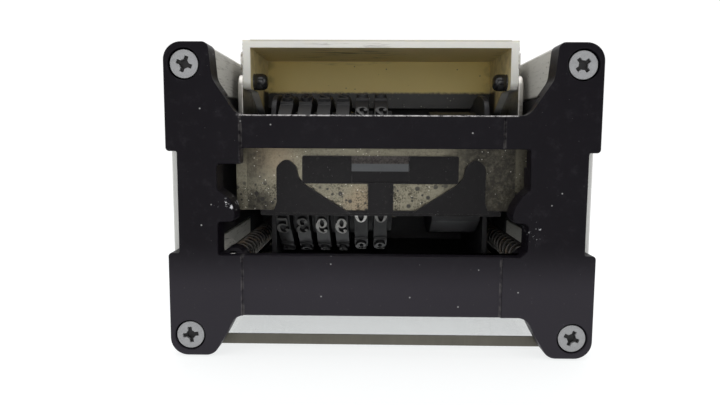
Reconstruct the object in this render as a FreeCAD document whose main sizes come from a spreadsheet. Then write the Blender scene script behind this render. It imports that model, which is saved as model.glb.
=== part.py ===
import FreeCAD, Part
import os
import math
import Sketcher
from FreeCAD import Vector as V, Placement, Rotation

# Self-inking numbering machine, in millimetres.
# +Z up, +Y to the rear, +X to the user's right.
# Origin: middle of the foot frame, on the surface it stands on.

os.makedirs("parts", exist_ok=True)
doc = FreeCAD.newDocument("numbering_machine")

# ---------------------------------------------------------------- dimensions
sheet = doc.addObject("Spreadsheet::Sheet", "Dims")
D = {}


def dim(name, value):
    n = len(D) + 1
    sheet.set("A%d" % n, name)
    sheet.set("B%d" % n, repr(float(value)))
    sheet.setAlias("B%d" % n, name)
    D[name] = float(value)


dim("foot_half_w", 34.8)        # foot frame, half width
dim("foot_rear", 25.6)          # foot frame, rear edge
dim("foot_front", 25.5)         # foot frame, front edge (towards -Y)
dim("foot_thick", 4.5)          # ears and posts
dim("bar_thick", 2.6)           # front and rear bars
dim("bar_recess", 0.25)         # bars sit back from the ears' face
dim("screw_x", 31.5)
dim("screw_y", 22.1)
dim("screw_head_r", 2.25)
dim("screw_bore_r", 2.5)
dim("screw_head_depth", 1.9)
dim("screw_shank_r", 1.4)
dim("screw_len", 12.0)
dim("cover_half_w", 35.3)       # outside of the side covers
dim("cover_skin", 2.1)
dim("cover_low", 4.5)
dim("cover_top", 84.0)
dim("pillar_in", 29.3)          # inner face of the pillars
dim("axle_y", 3.5)              # wheel axle
dim("axle_z", 29.1)
dim("axle_rad", 3.0)
dim("axle_bore_r", 3.06)
dim("axle_len", 50.4)
dim("wheel_rad", 16.3)          # over the type
dim("wheel_rim_r", 15.2)
dim("wheel_pitch", 3.7)
dim("wheel_first_x", 18.3)
dim("wheel_rim_w", 2.6)
dim("ratchet_w", 1.0)
dim("cheek_in", 20.2)
dim("cheek_t", 1.0)
dim("gear_module", 0.9)
dim("gear_teeth", 15)
dim("gear_in", 22.7)
dim("gear_w", 1.6)
dim("pad_half_w", 25.1)
dim("pad_front", -2.0)
dim("pad_rear", 9.0)
dim("plate_z", 8.0)
dim("plate_t", 0.6)
dim("arm_in", 21.5)
dim("arm_t", 0.8)
dim("hood_half_in", 25.5)
dim("hood_wall", 1.5)
dim("hood_low", 23.0)
dim("hood_top", 83.7)
dim("hood_rear_in", 28.15)
dim("hood_ceiling", 43.5)
dim("block_low", 49.2)
dim("block_high", 60.0)
dim("rod_x", 24.6)
dim("rod_y", -9.8)
dim("rod_r", 1.25)
dim("rod_bore_r", 1.31)
dim("column_r", 9.0)
dim("column_bore_r", 9.08)
dim("column_top", 106.0)
dim("bridge_t", 4.0)
dim("handle_low", 104.0)
dim("handle_top", 147.0)
doc.recompute()

PITCH_R = D["gear_module"] * D["gear_teeth"] / 2.0
AY, AZ = D["axle_y"], D["axle_z"]


# ---------------------------------------------------------------- helpers
def ccw_arc(a, mid, b):
    """Arc through three points, always stored counter-clockwise about +Z."""
    c = Part.Arc(a, mid, b).toShape().Curve
    cen, r = c.Center, c.Radius

    def ang(p):
        return math.atan2(p.y - cen.y, p.x - cen.x)
    a0, a1, am = ang(a), ang(b), ang(mid)
    if (am - a0) % (2 * math.pi) > (a1 - a0) % (2 * math.pi):
        a0, a1 = a1, a0
    if a1 <= a0:
        a1 += 2 * math.pi
    return Part.ArcOfCircle(Part.Circle(V(cen.x, cen.y, 0), V(0, 0, 1), r), a0, a1)


def wire_points(points):
    """Corner list (a, b, r) -> list of line and arc edges, corners rounded by r."""
    n = len(points)
    segs = []
    ends = []
    for i in range(n):
        p = points[i]
        r = p[2] if len(p) > 2 else 0.0
        P = V(p[0], p[1], 0)
        A = V(points[i - 1][0], points[i - 1][1], 0)
        B = V(points[(i + 1) % n][0], points[(i + 1) % n][1], 0)
        u, w = (A - P), (B - P)
        lu, lw = u.Length, w.Length
        u, w = u / lu, w / lw
        if r <= 0:
            ends.append((P, P, None))
            continue
        ang = math.acos(max(-1.0, min(1.0, u.dot(w))))
        if abs(math.pi - ang) < 1e-4:
            ends.append((P, P, None))
            continue
        t = r / math.tan(ang / 2.0)
        t = min(t, 0.48 * lu, 0.48 * lw)
        r = t * math.tan(ang / 2.0)
        bis = (u + w).normalize()
        C = P + bis * (r / math.sin(ang / 2.0))
        M = C - bis * r
        ends.append((P + u * t, P + w * t, M))
    for i in range(n):
        a, b, m = ends[i]
        if m is not None:
            segs.append(ccw_arc(a, m, b))
        nxt = ends[(i + 1) % n][0]
        if b.distanceToPoint(nxt) > 1e-6:
            segs.append(Part.LineSegment(b, nxt))
    return segs


def add_loops(sk, loops):
    for lp in loops:
        if lp[0] == "c":
            sk.addGeometry(Part.Circle(V(lp[1], lp[2], 0), V(0, 0, 1), lp[3]), False)
            continue
        segs = wire_points(lp)
        first = sk.GeometryCount
        for s in segs:
            sk.addGeometry(s, False)
        # neighbours share their end points; walk the chain with the real end tags
        k = len(segs)
        for i in range(k):
            j = (i + 1) % k
            ei = 2
            ej = 1
            gi, gj = sk.Geometry[first + i], sk.Geometry[first + j]
            pi = {1: gi.StartPoint, 2: gi.EndPoint}
            pj = {1: gj.StartPoint, 2: gj.EndPoint}
            best = min(((a, b) for a in (1, 2) for b in (1, 2)),
                       key=lambda ab: pi[ab[0]].distanceToPoint(pj[ab[1]]))
            if k == 2:
                best = (ei, ej)
            sk.addConstraint(Sketcher.Constraint("Coincident", first + i, best[0], first + j, best[1]))


class Body(object):
    """A PartDesign body built from sketches on its own origin planes."""

    def __init__(self, label):
        self.o = doc.addObject("PartDesign::Body", label)
        self.o.Label = label
        self.o.AllowCompound = True
        self.n = 0

    def plane(self, role):
        for f in self.o.Origin.OriginFeatures:
            if f.Role == role:
                return f

    def sketch(self, plane, off, loops):
        self.n += 1
        sk = self.o.newObject("Sketcher::SketchObject", "%s_sk%d" % (self.o.Name, self.n))
        sk.AttachmentSupport = [(self.plane(plane + "_Plane"), "")]
        sk.MapMode = "FlatFace"
        if isinstance(off, str):
            sk.setExpression("AttachmentOffset.Base.z", off)
        else:
            sk.AttachmentOffset = Placement(V(0, 0, off), Rotation())
        add_loops(sk, loops)
        return sk

    def pad(self, plane, off, loops, length):
        sk = self.sketch(plane, off, loops)
        p = self.o.newObject("PartDesign::Pad", "%s_pad%d" % (self.o.Name, self.n))
        p.Profile = sk
        if isinstance(length, str):
            p.setExpression("Length", length)
        else:
            p.Length = length
        return p

    def cut(self, plane, off, loops, length):
        doc.recompute()
        before = self.o.Shape.Volume
        sk = self.sketch(plane, off, loops)
        p = self.o.newObject("PartDesign::Pocket", "%s_cut%d" % (self.o.Name, self.n))
        p.Profile = sk
        p.Reversed = True
        if isinstance(length, str):
            p.setExpression("Length", length)
        else:
            p.Length = length
        doc.recompute()
        if self.o.Shape.Volume > before - 1e-6:
            raise RuntimeError("%s: a pocket removed nothing" % self.o.Label)
        return p


def rect(a0, b0, a1, b1, r=0.0):
    return [(a0, b0, r), (a1, b0, r), (a1, b1, r), (a0, b1, r)]


def bind(o, prop, val):
    if isinstance(val, str):
        o.setExpression(prop, val)
    else:
        setattr(o, prop, val)


def box(name, x0, x1, y0, y1, z0, z1):
    o = doc.addObject("Part::Box", name)
    for prop, a, b in (("Length", x0, x1), ("Width", y0, y1), ("Height", z0, z1)):
        if isinstance(a, str) or isinstance(b, str):
            o.setExpression(prop, "(%s) - (%s)" % (b, a))
        else:
            setattr(o, prop, b - a)
    base = [0, 0, 0]
    for i, a in enumerate((x0, y0, z0)):
        if not isinstance(a, str):
            base[i] = a
    o.Placement = Placement(V(*base), Rotation())
    for ax, a in zip("xyz", (x0, y0, z0)):
        if isinstance(a, str):
            o.setExpression("Placement.Base." + ax, a)
    return o


def cyl(name, r, length, pos, axis="z", angle=360.0):
    """Cylinder from pos along +axis."""
    o = doc.addObject("Part::Cylinder", name)
    bind(o, "Radius", r)
    bind(o, "Height", length)
    if angle != 360.0:
        o.Angle = angle
    rot = {"z": Rotation(), "x": Rotation(V(0, 1, 0), 90), "y": Rotation(V(1, 0, 0), -90)}[axis]
    base = [0 if isinstance(a, str) else a for a in pos]
    o.Placement = Placement(V(*base), rot)
    for ax, a in zip("xyz", pos):
        if isinstance(a, str):
            o.setExpression("Placement.Base." + ax, a)
    return o


def fuse(name, items):
    o = doc.addObject("Part::MultiFuse", name)
    o.Shapes = items
    o.Label = name
    o.Refine = True
    return o


def cut(name, a, b):
    o = doc.addObject("Part::Cut", name)
    o.Base = a
    o.Tool = b
    o.Label = name
    o.Refine = True
    return o


def common(name, items):
    o = doc.addObject("Part::MultiCommon", name)
    o.Shapes = items
    o.Label = name
    return o


def group(name, items):
    """Separate solids in one node."""
    o = doc.addObject("Part::Compound", name)
    o.Links = items
    o.Label = name
    return o


def mirror(name, src):
    """The same piece on the other side of the machine's middle plane."""
    o = doc.addObject("Part::Mirroring", name)
    o.Source = src
    o.Normal = V(1, 0, 0)
    o.Base = V(0, 0, 0)
    o.Label = name
    return o


NODES = []


def node(o, label=None):
    if label:
        o.Label = label
    NODES.append(o)
    return o


# ---------------------------------------------------------------- foot frame
W, RR, FF = D["foot_half_w"], D["foot_rear"], -D["foot_front"]
right = [(23.3, 14.2, 2.4), (27.1, 19.9, 3.0), (27.65, RR, 1.1), (W, RR, 2.9), (W, 8.3, 0.6), (33.0, 8.3, 0.3),
         (33.0, -8.3, 0.3), (W, -8.3, 0.6), (W, FF, 2.9), (27.6, FF, 2.2), (25.4, -21.7, 3.0), (23.9, -18.72, 2.3)]
outline = right + [(-x, y, r) for x, y, r in reversed(right)]
# the print window: its posts differ, as in the real frame
window = [(22.7, 8.85, 0.4), (22.7, 6.3, 0.4), (26.55, 6.3, 0.5), (26.55, 2.2, 0.8), (24.5, 0.7, 1.5), (23.8, -1.4, 1.2),
          (23.9, -3.05, 0.6), (26.55, -3.15, 0.4), (26.6, -8.65, 0.4), (-22.6, -8.65, 0.3), (-23.7, -7.65, 0.3),
          (-23.75, -3.2, 0.5), (-21.5, -2.95, 0.5), (-21.05, -1.9, 0.7), (-21.5, -0.4, 1.5), (-22.6, 1.35, 0.8),
          (-23.85, 2.4, 0.6), (-23.7, 8.85, 0.4)]
foot = Body("base_frame")
foot.pad("XY", 0.0, [outline, window], "Dims.foot_thick")
foot.cut("XY", "Dims.bar_thick", [rect(-26.0, 5.9, 26.0, 17.4)], "Dims.foot_thick")
foot.cut("XY", "Dims.bar_thick", [rect(-23.0, -20.0, 23.0, -8.2)], "Dims.foot_thick")
foot.cut("XY", -0.1, [rect(-19.5, 8.0, 22.66, 15.0), rect(-19.7, -19.6, 22.66, -7.9)], "Dims.bar_recess + 0.1")
sx, sy = D["screw_x"], D["screw_y"]
corners = [(sx, sy), (-sx, sy), (sx, -sy), (-sx, -sy)]
foot.cut("XY", -0.1, [("c", x, y, D["screw_bore_r"]) for x, y in corners], "Dims.screw_head_depth + 0.1")
foot.cut("XY", 1.0, [("c", x, y, D["screw_shank_r"]) for x, y in corners], "Dims.foot_thick")
# seats that hold the guide rods and the springs' lower ends
foot.pad("XY", "Dims.bar_thick - 0.4", [("c", D["rod_x"], D["rod_y"], 2.1), ("c", -D["rod_x"], D["rod_y"], 2.1)], 3.8)
foot.cut("XY", 2.0, [("c", D["rod_x"], D["rod_y"], D["rod_r"]), ("c", -D["rod_x"], D["rod_y"], D["rod_r"])], 6.0)
# the rear bar's inner edge is hollowed where the type comes down past it
low_z = AZ - 12.7
foot.cut("YZ", -4.2, [("c", AY, low_z, D["wheel_rad"] + 0.35)], 25.4)
node(foot.o)

# ---------------------------------------------------------------- foot screws
screws = []
for i, (x, y) in enumerate(corners):
    head = cyl("foot_screw_head_%d" % i, "Dims.screw_head_r", "Dims.screw_head_depth - 0.3", (x, y, 0.3))
    shank = cyl("foot_screw_shank_%d" % i, "Dims.screw_shank_r", "Dims.screw_len - 1.5", (x, y, 1.5))
    s = fuse("foot_screw_body_%d" % i, [head, shank])
    a = box("foot_screw_a_%d" % i, -1.3, 1.3, -0.33, 0.33, 0.0, 0.9)
    b = box("foot_screw_b_%d" % i, -0.33, 0.33, -1.3, 1.3, 0.0, 0.9)
    c = cyl("foot_screw_c_%d" % i, 0.75, 1.1, (0, 0, 0))
    star = fuse("foot_screw_star_%d" % i, [a, b, c])
    star.Placement = Placement(V(x, y, 0.2), Rotation(V(0, 0, 1), 20.0 + 31.0 * i))
    screws.append(cut("foot_screw_%d" % i, s, star))
node(group("base_screws", screws))

# ---------------------------------------------------------------- side covers
CO, PI_ = D["cover_half_w"], D["pillar_in"]
SK = CO - D["cover_skin"]


def cover_profile():
    """Section of the +X cover, seen from above."""
    return [(PI_, 18.4, 0.4), (SK, 18.4, 0.0), (SK, -7.6, 0.0), (PI_, -7.6, 0.3), (PI_, -13.0, 0.3), (SK, -13.0, 0.0),
            (SK, -18.9, 0.0), (28.9, -18.9, 0.4), (28.9, -25.3, 0.6), (CO, -25.3, 3.2), (CO, 26.2, 3.2), (PI_, 26.2, 0.6)]


cov = Body("cover_shell")
cov.pad("XY", "Dims.cover_low", [cover_profile()], "Dims.cover_top - Dims.cover_low")
# the rib at the front reaches only part way up, and the pillars are drilled for the foot screws
cov.cut("XY", 39.8, [rect(28.0, -13.5, SK, -7.0)], 50.0)
cov.cut("XY", "Dims.cover_low - 1", [("c", sx, sy, D["screw_shank_r"]), ("c", sx, -sy, D["screw_shank_r"])], 9.0)
cov.cut("YZ", 33.0, [("c", 0.0, 15.0, 1.3), ("c", 0.0, 75.0, 1.3)], 4.0)
boss = cyl("cover_boss", 1.55, 9.0, (28.1, -9.6, 5.2))
boss_hole = cyl("cover_boss_hole", 0.65, 5.0, (28.1, -9.6, 5.0))
cov_r = cut("side_cover_right", fuse("cover_with_boss", [cov.o, boss]), boss_hole)
cov_l = mirror("side_cover_left_plain", cov_r)
node(cov_r)
button_hole = cyl("cover_button_hole", 3.6, 8.0, (-36.0, 10.0, 66.0), "x")
node(cut("side_cover_left", cov_l, button_hole))

# screws that hold the covers to the inner frames
cs = []
for i, (sg, z) in enumerate(((1, 15.0), (1, 75.0), (-1, 15.0), (-1, 75.0))):
    if sg > 0:
        h_ = cyl("cover_screw_head_%d" % i, 2.2, 0.9, (CO, 0.0, z), "x")
        s_ = cyl("cover_screw_shank_%d" % i, 1.3, CO - 32.0 + 0.1, (32.0, 0.0, z), "x")
    else:
        h_ = cyl("cover_screw_head_%d" % i, 2.2, 0.9, (-CO - 0.9, 0.0, z), "x")
        s_ = cyl("cover_screw_shank_%d" % i, 1.3, CO - 32.0 + 0.1, (-CO - 0.1, 0.0, z), "x")
    body = fuse("cover_screw_body_%d" % i, [h_, s_])
    x0 = CO + 0.45 if sg > 0 else -CO - 1.0
    k1 = box("cover_screw_k1_%d" % i, x0, x0 + 0.55, -1.4, 1.4, z - 0.25, z + 0.25)
    k2 = box("cover_screw_k2_%d" % i, x0, x0 + 0.55, -0.25, 0.25, z - 1.4, z + 1.4)
    cs.append(cut("cover_screw_%d" % i, body, fuse("cover_screw_k_%d" % i, [k1, k2])))
node(group("cover_screws", cs))

# ---------------------------------------------------------------- inner frames
inner = Body("inner_plate")
inner.pad("YZ", "Dims.pillar_in", [[(-18.7, 4.5), (-13.2, 4.5), (-13.2, 40.0), (-7.4, 40.0), (-7.4, 4.5), (18.2, 4.5),
                                    (18.2, 84.0), (-18.7, 84.0)]], 2.2)
for y0, y1 in ((-18.7, -16.6), (-2.4, 2.4), (15.8, 18.2)):
    inner.pad("YZ", PI_ + 2.0, [rect(y0, 4.5, y1, 84.0)], SK - PI_ - 2.0)
inner.cut("YZ", 31.9, [("c", 0.0, 15.0, 1.3), ("c", 0.0, 75.0, 1.3)], 4.0)
inner.o.Label = "inner_frame_right"
node(inner.o)
inner_l = mirror("inner_left_plain", inner.o)
hole2 = cyl("inner_button_hole", 3.6, 8.0, (-34.0, 10.0, 66.0), "x")
node(cut("inner_frame_left", inner_l, hole2))

# ---------------------------------------------------------------- racks that turn the pad
m = D["gear_module"]
pt = math.pi * m
add, ded = 0.68, 1.1
yp = AY + PITCH_R
tan20 = math.tan(math.radians(20.0))
z_lo, z_hi = 13.4, 33.2
rack_pts = []
bl = 0.10
k0 = int(math.ceil((z_lo + 1.0 - AZ) / pt))
k1 = int(math.floor((z_hi - 1.0 - AZ) / pt))
rack_pts.append((yp + ded, z_lo))
for k in range(k0, k1 + 1):
    zc = AZ + k * pt
    half = pt / 4.0 - bl
    wt = half - add * tan20
    wr = half + ded * tan20
    rack_pts += [(yp + ded, zc - wr), (yp - add, zc - wt), (yp - add, zc + wt), (yp + ded, zc + wr)]
rack_pts.append((yp + ded, z_hi))
rack_pts += [(13.4, z_hi), (13.4, z_lo)]
rack = Body("rack_bar")
rack.pad("YZ", "Dims.gear_in", [rack_pts], "Dims.gear_w")
web = box("rack_web", "Dims.gear_in + Dims.gear_w - 0.2", "Dims.pillar_in", 11.7, 13.4, 14.2, 32.4)
rack_r = fuse("pad_rack_right", [rack.o, web])
node(rack_r)
node(mirror("pad_rack_left", rack_r))

# ---------------------------------------------------------------- guide rods and springs
rods = [cyl("rod_%d" % i, "Dims.rod_r", 82.0, (s * D["rod_x"], D["rod_y"], 2.0)) for i, s in enumerate((1, -1))]
node(group("guide_rods", rods))


def coil(x, y, z0, z1, r, wire, turns):
    """Closed coil spring: a swept circular section along a helix."""
    height = z1 - z0 - wire
    hel = Part.makeHelix(height / turns, height, r)
    prof = Part.Wire(Part.Circle(V(r, 0, 0), V(0, 1, 0), wire / 2.0).toShape())
    pipe = Part.Wire(hel.Edges).makePipeShell([prof], True, True)
    if pipe.ShapeType != "Solid":
        pipe = Part.Solid(pipe)
    if pipe.Volume < 0:
        pipe.reverse()
    pipe.translate(V(x, y, z0 + wire / 2.0))
    return pipe


spring = doc.addObject("Part::Feature", "return_springs")
springs = [coil(s * D["rod_x"], D["rod_y"], 6.05, D["block_low"] - 0.05, 1.72, 0.5, 17) for s in (1, -1)]
spring.Shape = Part.makeCompound(springs)
spring.Label = "return_springs"
node(spring)

# ---------------------------------------------------------------- clear front window and front cover
win = Body("front_window")
win.pad("XY", 5.2, [rect(-28.8, -25.3, 28.8, -23.4, 0.3)], 36.6)
node(win.o)
fc = Body("front_cover")
fc.pad("XY", 42.0, [[(-28.8, -25.3, 0.3), (28.8, -25.3, 0.3), (28.8, -17.6, 0.3), (26.9, -17.6, 0.3), (26.9, -23.2, 0.8),
                     (-26.9, -23.2, 0.8), (-26.9, -17.6, 0.3), (-28.8, -17.6, 0.3)]], "Dims.cover_top - 42")
node(fc.o)

# ---------------------------------------------------------------- top bridge
br = Body("bridge_plate")
br.pad("XY", "Dims.cover_top", [rect(-CO, -25.3, CO, 26.2, 3.2)], "Dims.bridge_t")
doc.recompute()
bf = doc.addObject("Part::Fillet", "bridge_eased")
bf.Base = br.o
bf.Edges = [(i + 1, 1.6, 1.6) for i, e in enumerate(br.o.Shape.Edges)
            if all(abs(v.Point.z - D["cover_top"] - D["bridge_t"]) < 1e-3 for v in e.Vertexes)]
ring = cyl("bridge_ring", 13.0, 3.2, (0, 0, "Dims.cover_top + Dims.bridge_t - 0.2"))
node(cut("top_bridge", fuse("bridge_solid", [bf, ring]), cyl("bridge_bore", "Dims.column_bore_r", 20.0, (0, 0, 78.0))))

# ---------------------------------------------------------------- lock button
lb = fuse("lock_button_body", [cyl("lb_cap", 3.45, 3.0, (-36.4, 10.0, 66.0), "x"),
                               cyl("lb_stem", 2.2, 3.4, (-33.6, 10.0, 66.0), "x")])
lbr = doc.addObject("Part::Fillet", "lock_button")
lbr.Base = lb
doc.recompute()
eids = [i + 1 for i, e in enumerate(lb.Shape.Edges)
        if e.Curve.TypeId == "Part::GeomCircle" and abs(e.Curve.Radius - 3.45) < 1e-3 and abs(e.Vertexes[0].Point.x + 36.4) < 1e-3]
lbr.Edges = [(i, 0.7, 0.7) for i in eids]
lbr.Label = "lock_button"
node(lbr)

# ---------------------------------------------------------------- wheel cage
CI, CT = D["cheek_in"], D["cheek_t"]
cheek = Body("cheek")
# seen from the side: front part down to z 20.5, rear part kept inside the type circle
rear_arc = []
for a in (62, 75, 90, 105, 118, 128):
    rear_arc.append((AY + 16.0 * math.sin(math.radians(a)), AZ - 16.0 * math.cos(math.radians(a))))
cheek.pad("YZ", "Dims.cheek_in", [[(-14.3, 20.5, 0.6), (0.5, 20.5, 1.0), (AY + 8.0, 20.5, 2.0)] + [(y, z, 3.0) for y, z in rear_arc] +
                                  [(13.6, 42.0, 0.5), (15.4, 43.4, 0.8), (15.4, 47.6, 0.8), (10.2, 47.6, 0.5), (10.2, 49.2), (-14.3, 49.2)]], "Dims.cheek_t")
cheek.cut("YZ", CI - 1.0, [("c", AY, AZ, D["axle_bore_r"])], 4.0)
cheek.cut("YZ", CI - 1.0, [("c", 12.8, 45.2, 1.2)], 4.0)
cheek_m = mirror("cheek_other", cheek.o)
front = Body("cage_front")
front.pad("XZ", 13.3, [rect(-CI - CT, 16.0, CI + CT, 49.2, 0.4), rect(-3.9, 18.0, 18.4, 25.2, 0.5), rect(-18.3, 18.0, -10.2, 25.2, 0.5)], 1.0)
top = Body("cage_top")
top.pad("XY", 46.6, [rect(-CI - CT, -14.3, CI + CT, 10.2)], 49.2 - 46.6)
node(fuse("wheel_cage", [cheek.o, cheek_m, front.o, top.o]))

# ---------------------------------------------------------------- detent comb and feed pawl
wheel_x = [D["wheel_first_x"] - D["wheel_pitch"] * i for i in range(6)]
groove_x = [x - 1.85 for x in wheel_x]
comb_items = [box("comb_spine", -4.6, 19.0, -8.2, -3.0, 46.0, 46.6)]
for i, gx in enumerate(groove_x):
    f = doc.addObject("PartDesign::Body", "comb_finger_%d" % i)
    fb = Body.__new__(Body)
    fb.o, fb.n = f, 0
    f.AllowCompound = True
    fb.pad("YZ", gx - 0.35, [[(-6.2, 46.3), (-5.5, 39.9), (-4.6, 39.7), (-4.6, 46.3)]], 0.7)
    comb_items.append(f)
node(fuse("detent_comb", comb_items))

node(cyl("pawl_pin", 1.2, 2 * (CI + CT), (-(CI + CT), 12.8, 45.2), "x"), "pawl_pin")
pawl_items = []
hub = cyl("pawl_hub_o", 1.85, 24.0, (-4.6, 12.8, 45.2), "x")
pawl_items.append(hub)
for i, gx in enumerate(groove_x):
    fb = Body("pawl_finger_%d" % i)
    fb.pad("YZ", gx - 0.35, [[(11.6, 45.6), (11.9, 39.4), (12.7, 39.2), (13.9, 45.6)]], 0.7)
    pawl_items.append(fb.o)
pawl_bore = cyl("pawl_bore", 1.26, 30.0, (-8.0, 12.8, 45.2), "x")
node(cut("feed_pawl", fuse("feed_pawl_solid", pawl_items), pawl_bore))

# ---------------------------------------------------------------- head block
hb = Body("head_block_core")
hb.pad("XY", "Dims.block_low", [[(-25.5, 28.15), (-25.5, -4.6, 1.0), (-28.4, -6.4, 1.0), (-28.4, -13.2, 2.0), (-21.6, -13.2, 1.5), (-20.6, -14.3, 0.5),
                                 (20.6, -14.3, 0.5), (21.6, -13.2, 1.5), (28.4, -13.2, 2.0), (28.4, -6.4, 1.0), (25.5, -4.6, 1.0), (25.5, 28.15)]],
       "Dims.block_high - Dims.block_low")
hb.cut("XY", 40.0, [("c", D["rod_x"], D["rod_y"], D["rod_bore_r"]), ("c", -D["rod_x"], D["rod_y"], D["rod_bore_r"])], 30.0)
node(hb.o, "head_block")

# ---------------------------------------------------------------- hood
HI = D["hood_half_in"]
HO = HI + D["hood_wall"]
HR = D["hood_rear_in"]
side_loop = [(20.2, D["hood_low"], 1.4), (HR + 1.5, D["hood_low"], 0.5), (HR + 1.5, D["hood_top"], 2.5), (14.6, D["hood_top"], 0.5),
             (14.6, 40.5, 1.0), (16.8, 38.0, 2.0), (20.2, 31.0, 3.0)]
hw = Body("hood_side")
hw.pad("YZ", "Dims.hood_half_in", [side_loop], "Dims.hood_wall")
# ribs outside the side walls, near the rear
hw.pad("YZ", HO - 0.1, [rect(24.2, 27.0, 28.0, 62.0, 0.8)], 1.35)
hw.cut("YZ", HI - 1.0, [("c", 21.87, 27.0, 1.7)], 6.0)
hw_m = mirror("hood_side_other", hw.o)
hb_rear = box("hood_rear", "-Dims.hood_half_in", "Dims.hood_half_in", "Dims.hood_rear_in", "Dims.hood_rear_in + Dims.hood_wall", "Dims.hood_low", "Dims.hood_top")
hb_top = box("hood_top_wall", "-Dims.hood_half_in", "Dims.hood_half_in", 14.6, "Dims.hood_rear_in", "Dims.hood_top - 1.5", "Dims.hood_top")
hb_ceil = box("hood_ceiling_web", "-Dims.hood_half_in", "Dims.hood_half_in", 17.6, "Dims.hood_rear_in", "Dims.hood_ceiling", "Dims.hood_ceiling + 1.5")
node(fuse("head_hood", [hw.o, hw_m, hb_rear, hb_top, hb_ceil]))

# bright steel side plates outside the hood
sp = Body("head_side_plate_right")
sp.pad("YZ", "Dims.hood_half_in + Dims.hood_wall", [[(14.3, 22.8, 0.6), (22.9, 22.8, 2.6), (23.4, 30.0, 3.0), (23.4, 62.0, 1.0), (14.3, 62.0, 1.0)]], 1.0)
sp.cut("YZ", HO - 1.0, [("c", 21.87, 27.0, 1.7)], 4.0)
sp.cut("YZ", HO - 1.0, [("c", 18.5, 54.6, 1.5)], 4.0)
node(sp.o)
node(mirror("head_side_plate_left", sp.o))

pins = []
for i, s in enumerate((1, -1)):
    x0 = 22.7 if s > 0 else -28.1
    pins.append(cyl("hood_pin_%d" % i, 1.7, 5.4, (x0, 21.87, 27.0), "x"))
node(group("hood_pins", pins))

# ---------------------------------------------------------------- column and handle
col = fuse("plunger_column", [cyl("column_shaft", "Dims.column_r", "Dims.column_top - Dims.block_high", (0, 0, "Dims.block_high")),
                              cyl("column_flange", 12.5, 3.0, (0, 0, "Dims.block_high"))])
node(col)
def section(name, z, hx_, hy_, r):
    sk = doc.addObject("Sketcher::SketchObject", name)
    sk.Placement = Placement(V(0, 0, z), Rotation())
    add_loops(sk, [rect(-hx_, -hy_, hx_, hy_, r)])
    return sk


# neck, swelling palm grip and crowned top, as one lofted form
grip = []
for i, (z, a_, b_, r_) in enumerate(((104.0, 12.6, 12.6, 11.0), (110.0, 12.4, 12.2, 10.8), (115.5, 15.5, 13.4, 11.6), (121.0, 22.5, 16.4, 13.6),
                                     (127.5, 27.0, 18.2, 15.0), (134.0, 27.6, 18.4, 15.2), (140.0, 25.6, 16.8, 14.0), (144.5, 21.0, 13.4, 11.6),
                                     (147.0, 15.2, 8.6, 7.4))):
    grip.append(section("grip_section_%d" % i, z, a_, b_, r_))
hcom = doc.addObject("Part::Loft", "handle_form")
hcom.Sections = grip
hcom.Solid = True
hcom.Ruled = False
hbore = cyl("handle_bore", "Dims.column_r", "Dims.column_top - Dims.handle_low + 0.5", (0, 0, "Dims.handle_low - 0.5"))
hrec = Body("handle_recess")
hrec.pad("XY", 146.2, [rect(-13.0, -6.2, 13.0, 6.2, 6.0)], 3.0)
node(cut("handle", hcom, fuse("handle_cuts", [hbore, hrec.o])))
hcap = Body("handle_cap")
hcap.pad("XY", 146.2, [rect(-12.9, -6.1, 12.9, 6.1, 5.9)], 1.3)
node(hcap.o)

# ---------------------------------------------------------------- drive shaft, clips, pinions, cam
node(cyl("drive_shaft", "Dims.axle_rad", "Dims.axle_len", (-D["axle_len"] / 2.0, AY, AZ), "x"), "drive_shaft")
clips = []
for i, s in enumerate((1, -1)):
    x0 = 24.5 if s > 0 else -24.5 - 0.55
    ring = cyl("clip_o_%d" % i, 4.4, 0.55, (x0, AY, AZ), "x")
    holec = cyl("clip_i_%d" % i, "Dims.axle_rad", 2.0, (x0 - 0.5, AY, AZ), "x")
    slot = box("clip_s_%d" % i, x0 - 0.5, x0 + 1.5, AY - 1.3, AY + 1.3, AZ - 6.0, AZ - 1.0)
    clips.append(cut("clip_%d" % i, ring, fuse("clip_cut_%d" % i, [holec, slot])))
node(group("shaft_clips", clips))


def gear_loop(teeth, mod, phase, outer, root, thin):
    """Involute-sided wheel, 20 degree pressure angle. Corner list in the YZ plane, about the axle."""
    rp = mod * teeth / 2.0
    rb = rp * math.cos(math.radians(20.0))

    def inv(r):
        a = math.acos(min(1.0, rb / r))
        return math.tan(a) - a
    half_p = math.pi / (2.0 * teeth) - thin / rp
    pts = []
    for k in range(teeth):
        c = phase + 2.0 * math.pi * (k + 0.5) / teeth
        prof = []
        for r in (rb, rb + 0.25 * (outer - rb), rb + 0.5 * (outer - rb), rb + 0.75 * (outer - rb), outer):
            prof.append((r, half_p + inv(rp) - inv(r)))
        pts.append((root, c - prof[0][1]))
        for r, h_ in prof:
            pts.append((r, c - h_))
        for r, h_ in reversed(prof):
            pts.append((r, c + h_))
        pts.append((root, c + prof[0][1]))
    return [(AY + r * math.cos(a), AZ + r * math.sin(a)) for r, a in pts]


gear_pts = gear_loop(int(D["gear_teeth"]), m, 0.0, PITCH_R + 0.85, PITCH_R - 1.05, 0.06)
pg = Body("pad_pinion_right")
pg.pad("YZ", "Dims.gear_in", [gear_pts, ("c", AY, AZ, D["axle_rad"])], "Dims.gear_w")
node(pg.o)
pg2 = Body("pad_pinion_left")
pg2.pad("YZ", "-Dims.gear_in - Dims.gear_w", [gear_pts, ("c", AY, AZ, D["axle_rad"])], "Dims.gear_w")
node(pg2.o)
fcam = Body("feed_cam")
cam_pts = []
for k in range(24):
    a = math.radians(15.0 * k)
    r = 9.0 + 2.2 * math.exp(-((k - 7) / 2.6) ** 2)
    cam_pts.append((AY + r * math.cos(a), AZ + r * math.sin(a), 1.2))
fcam.pad("YZ", -7.0, [cam_pts, ("c", AY, AZ, D["axle_rad"])], 3.6)
node(fcam.o)

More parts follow.
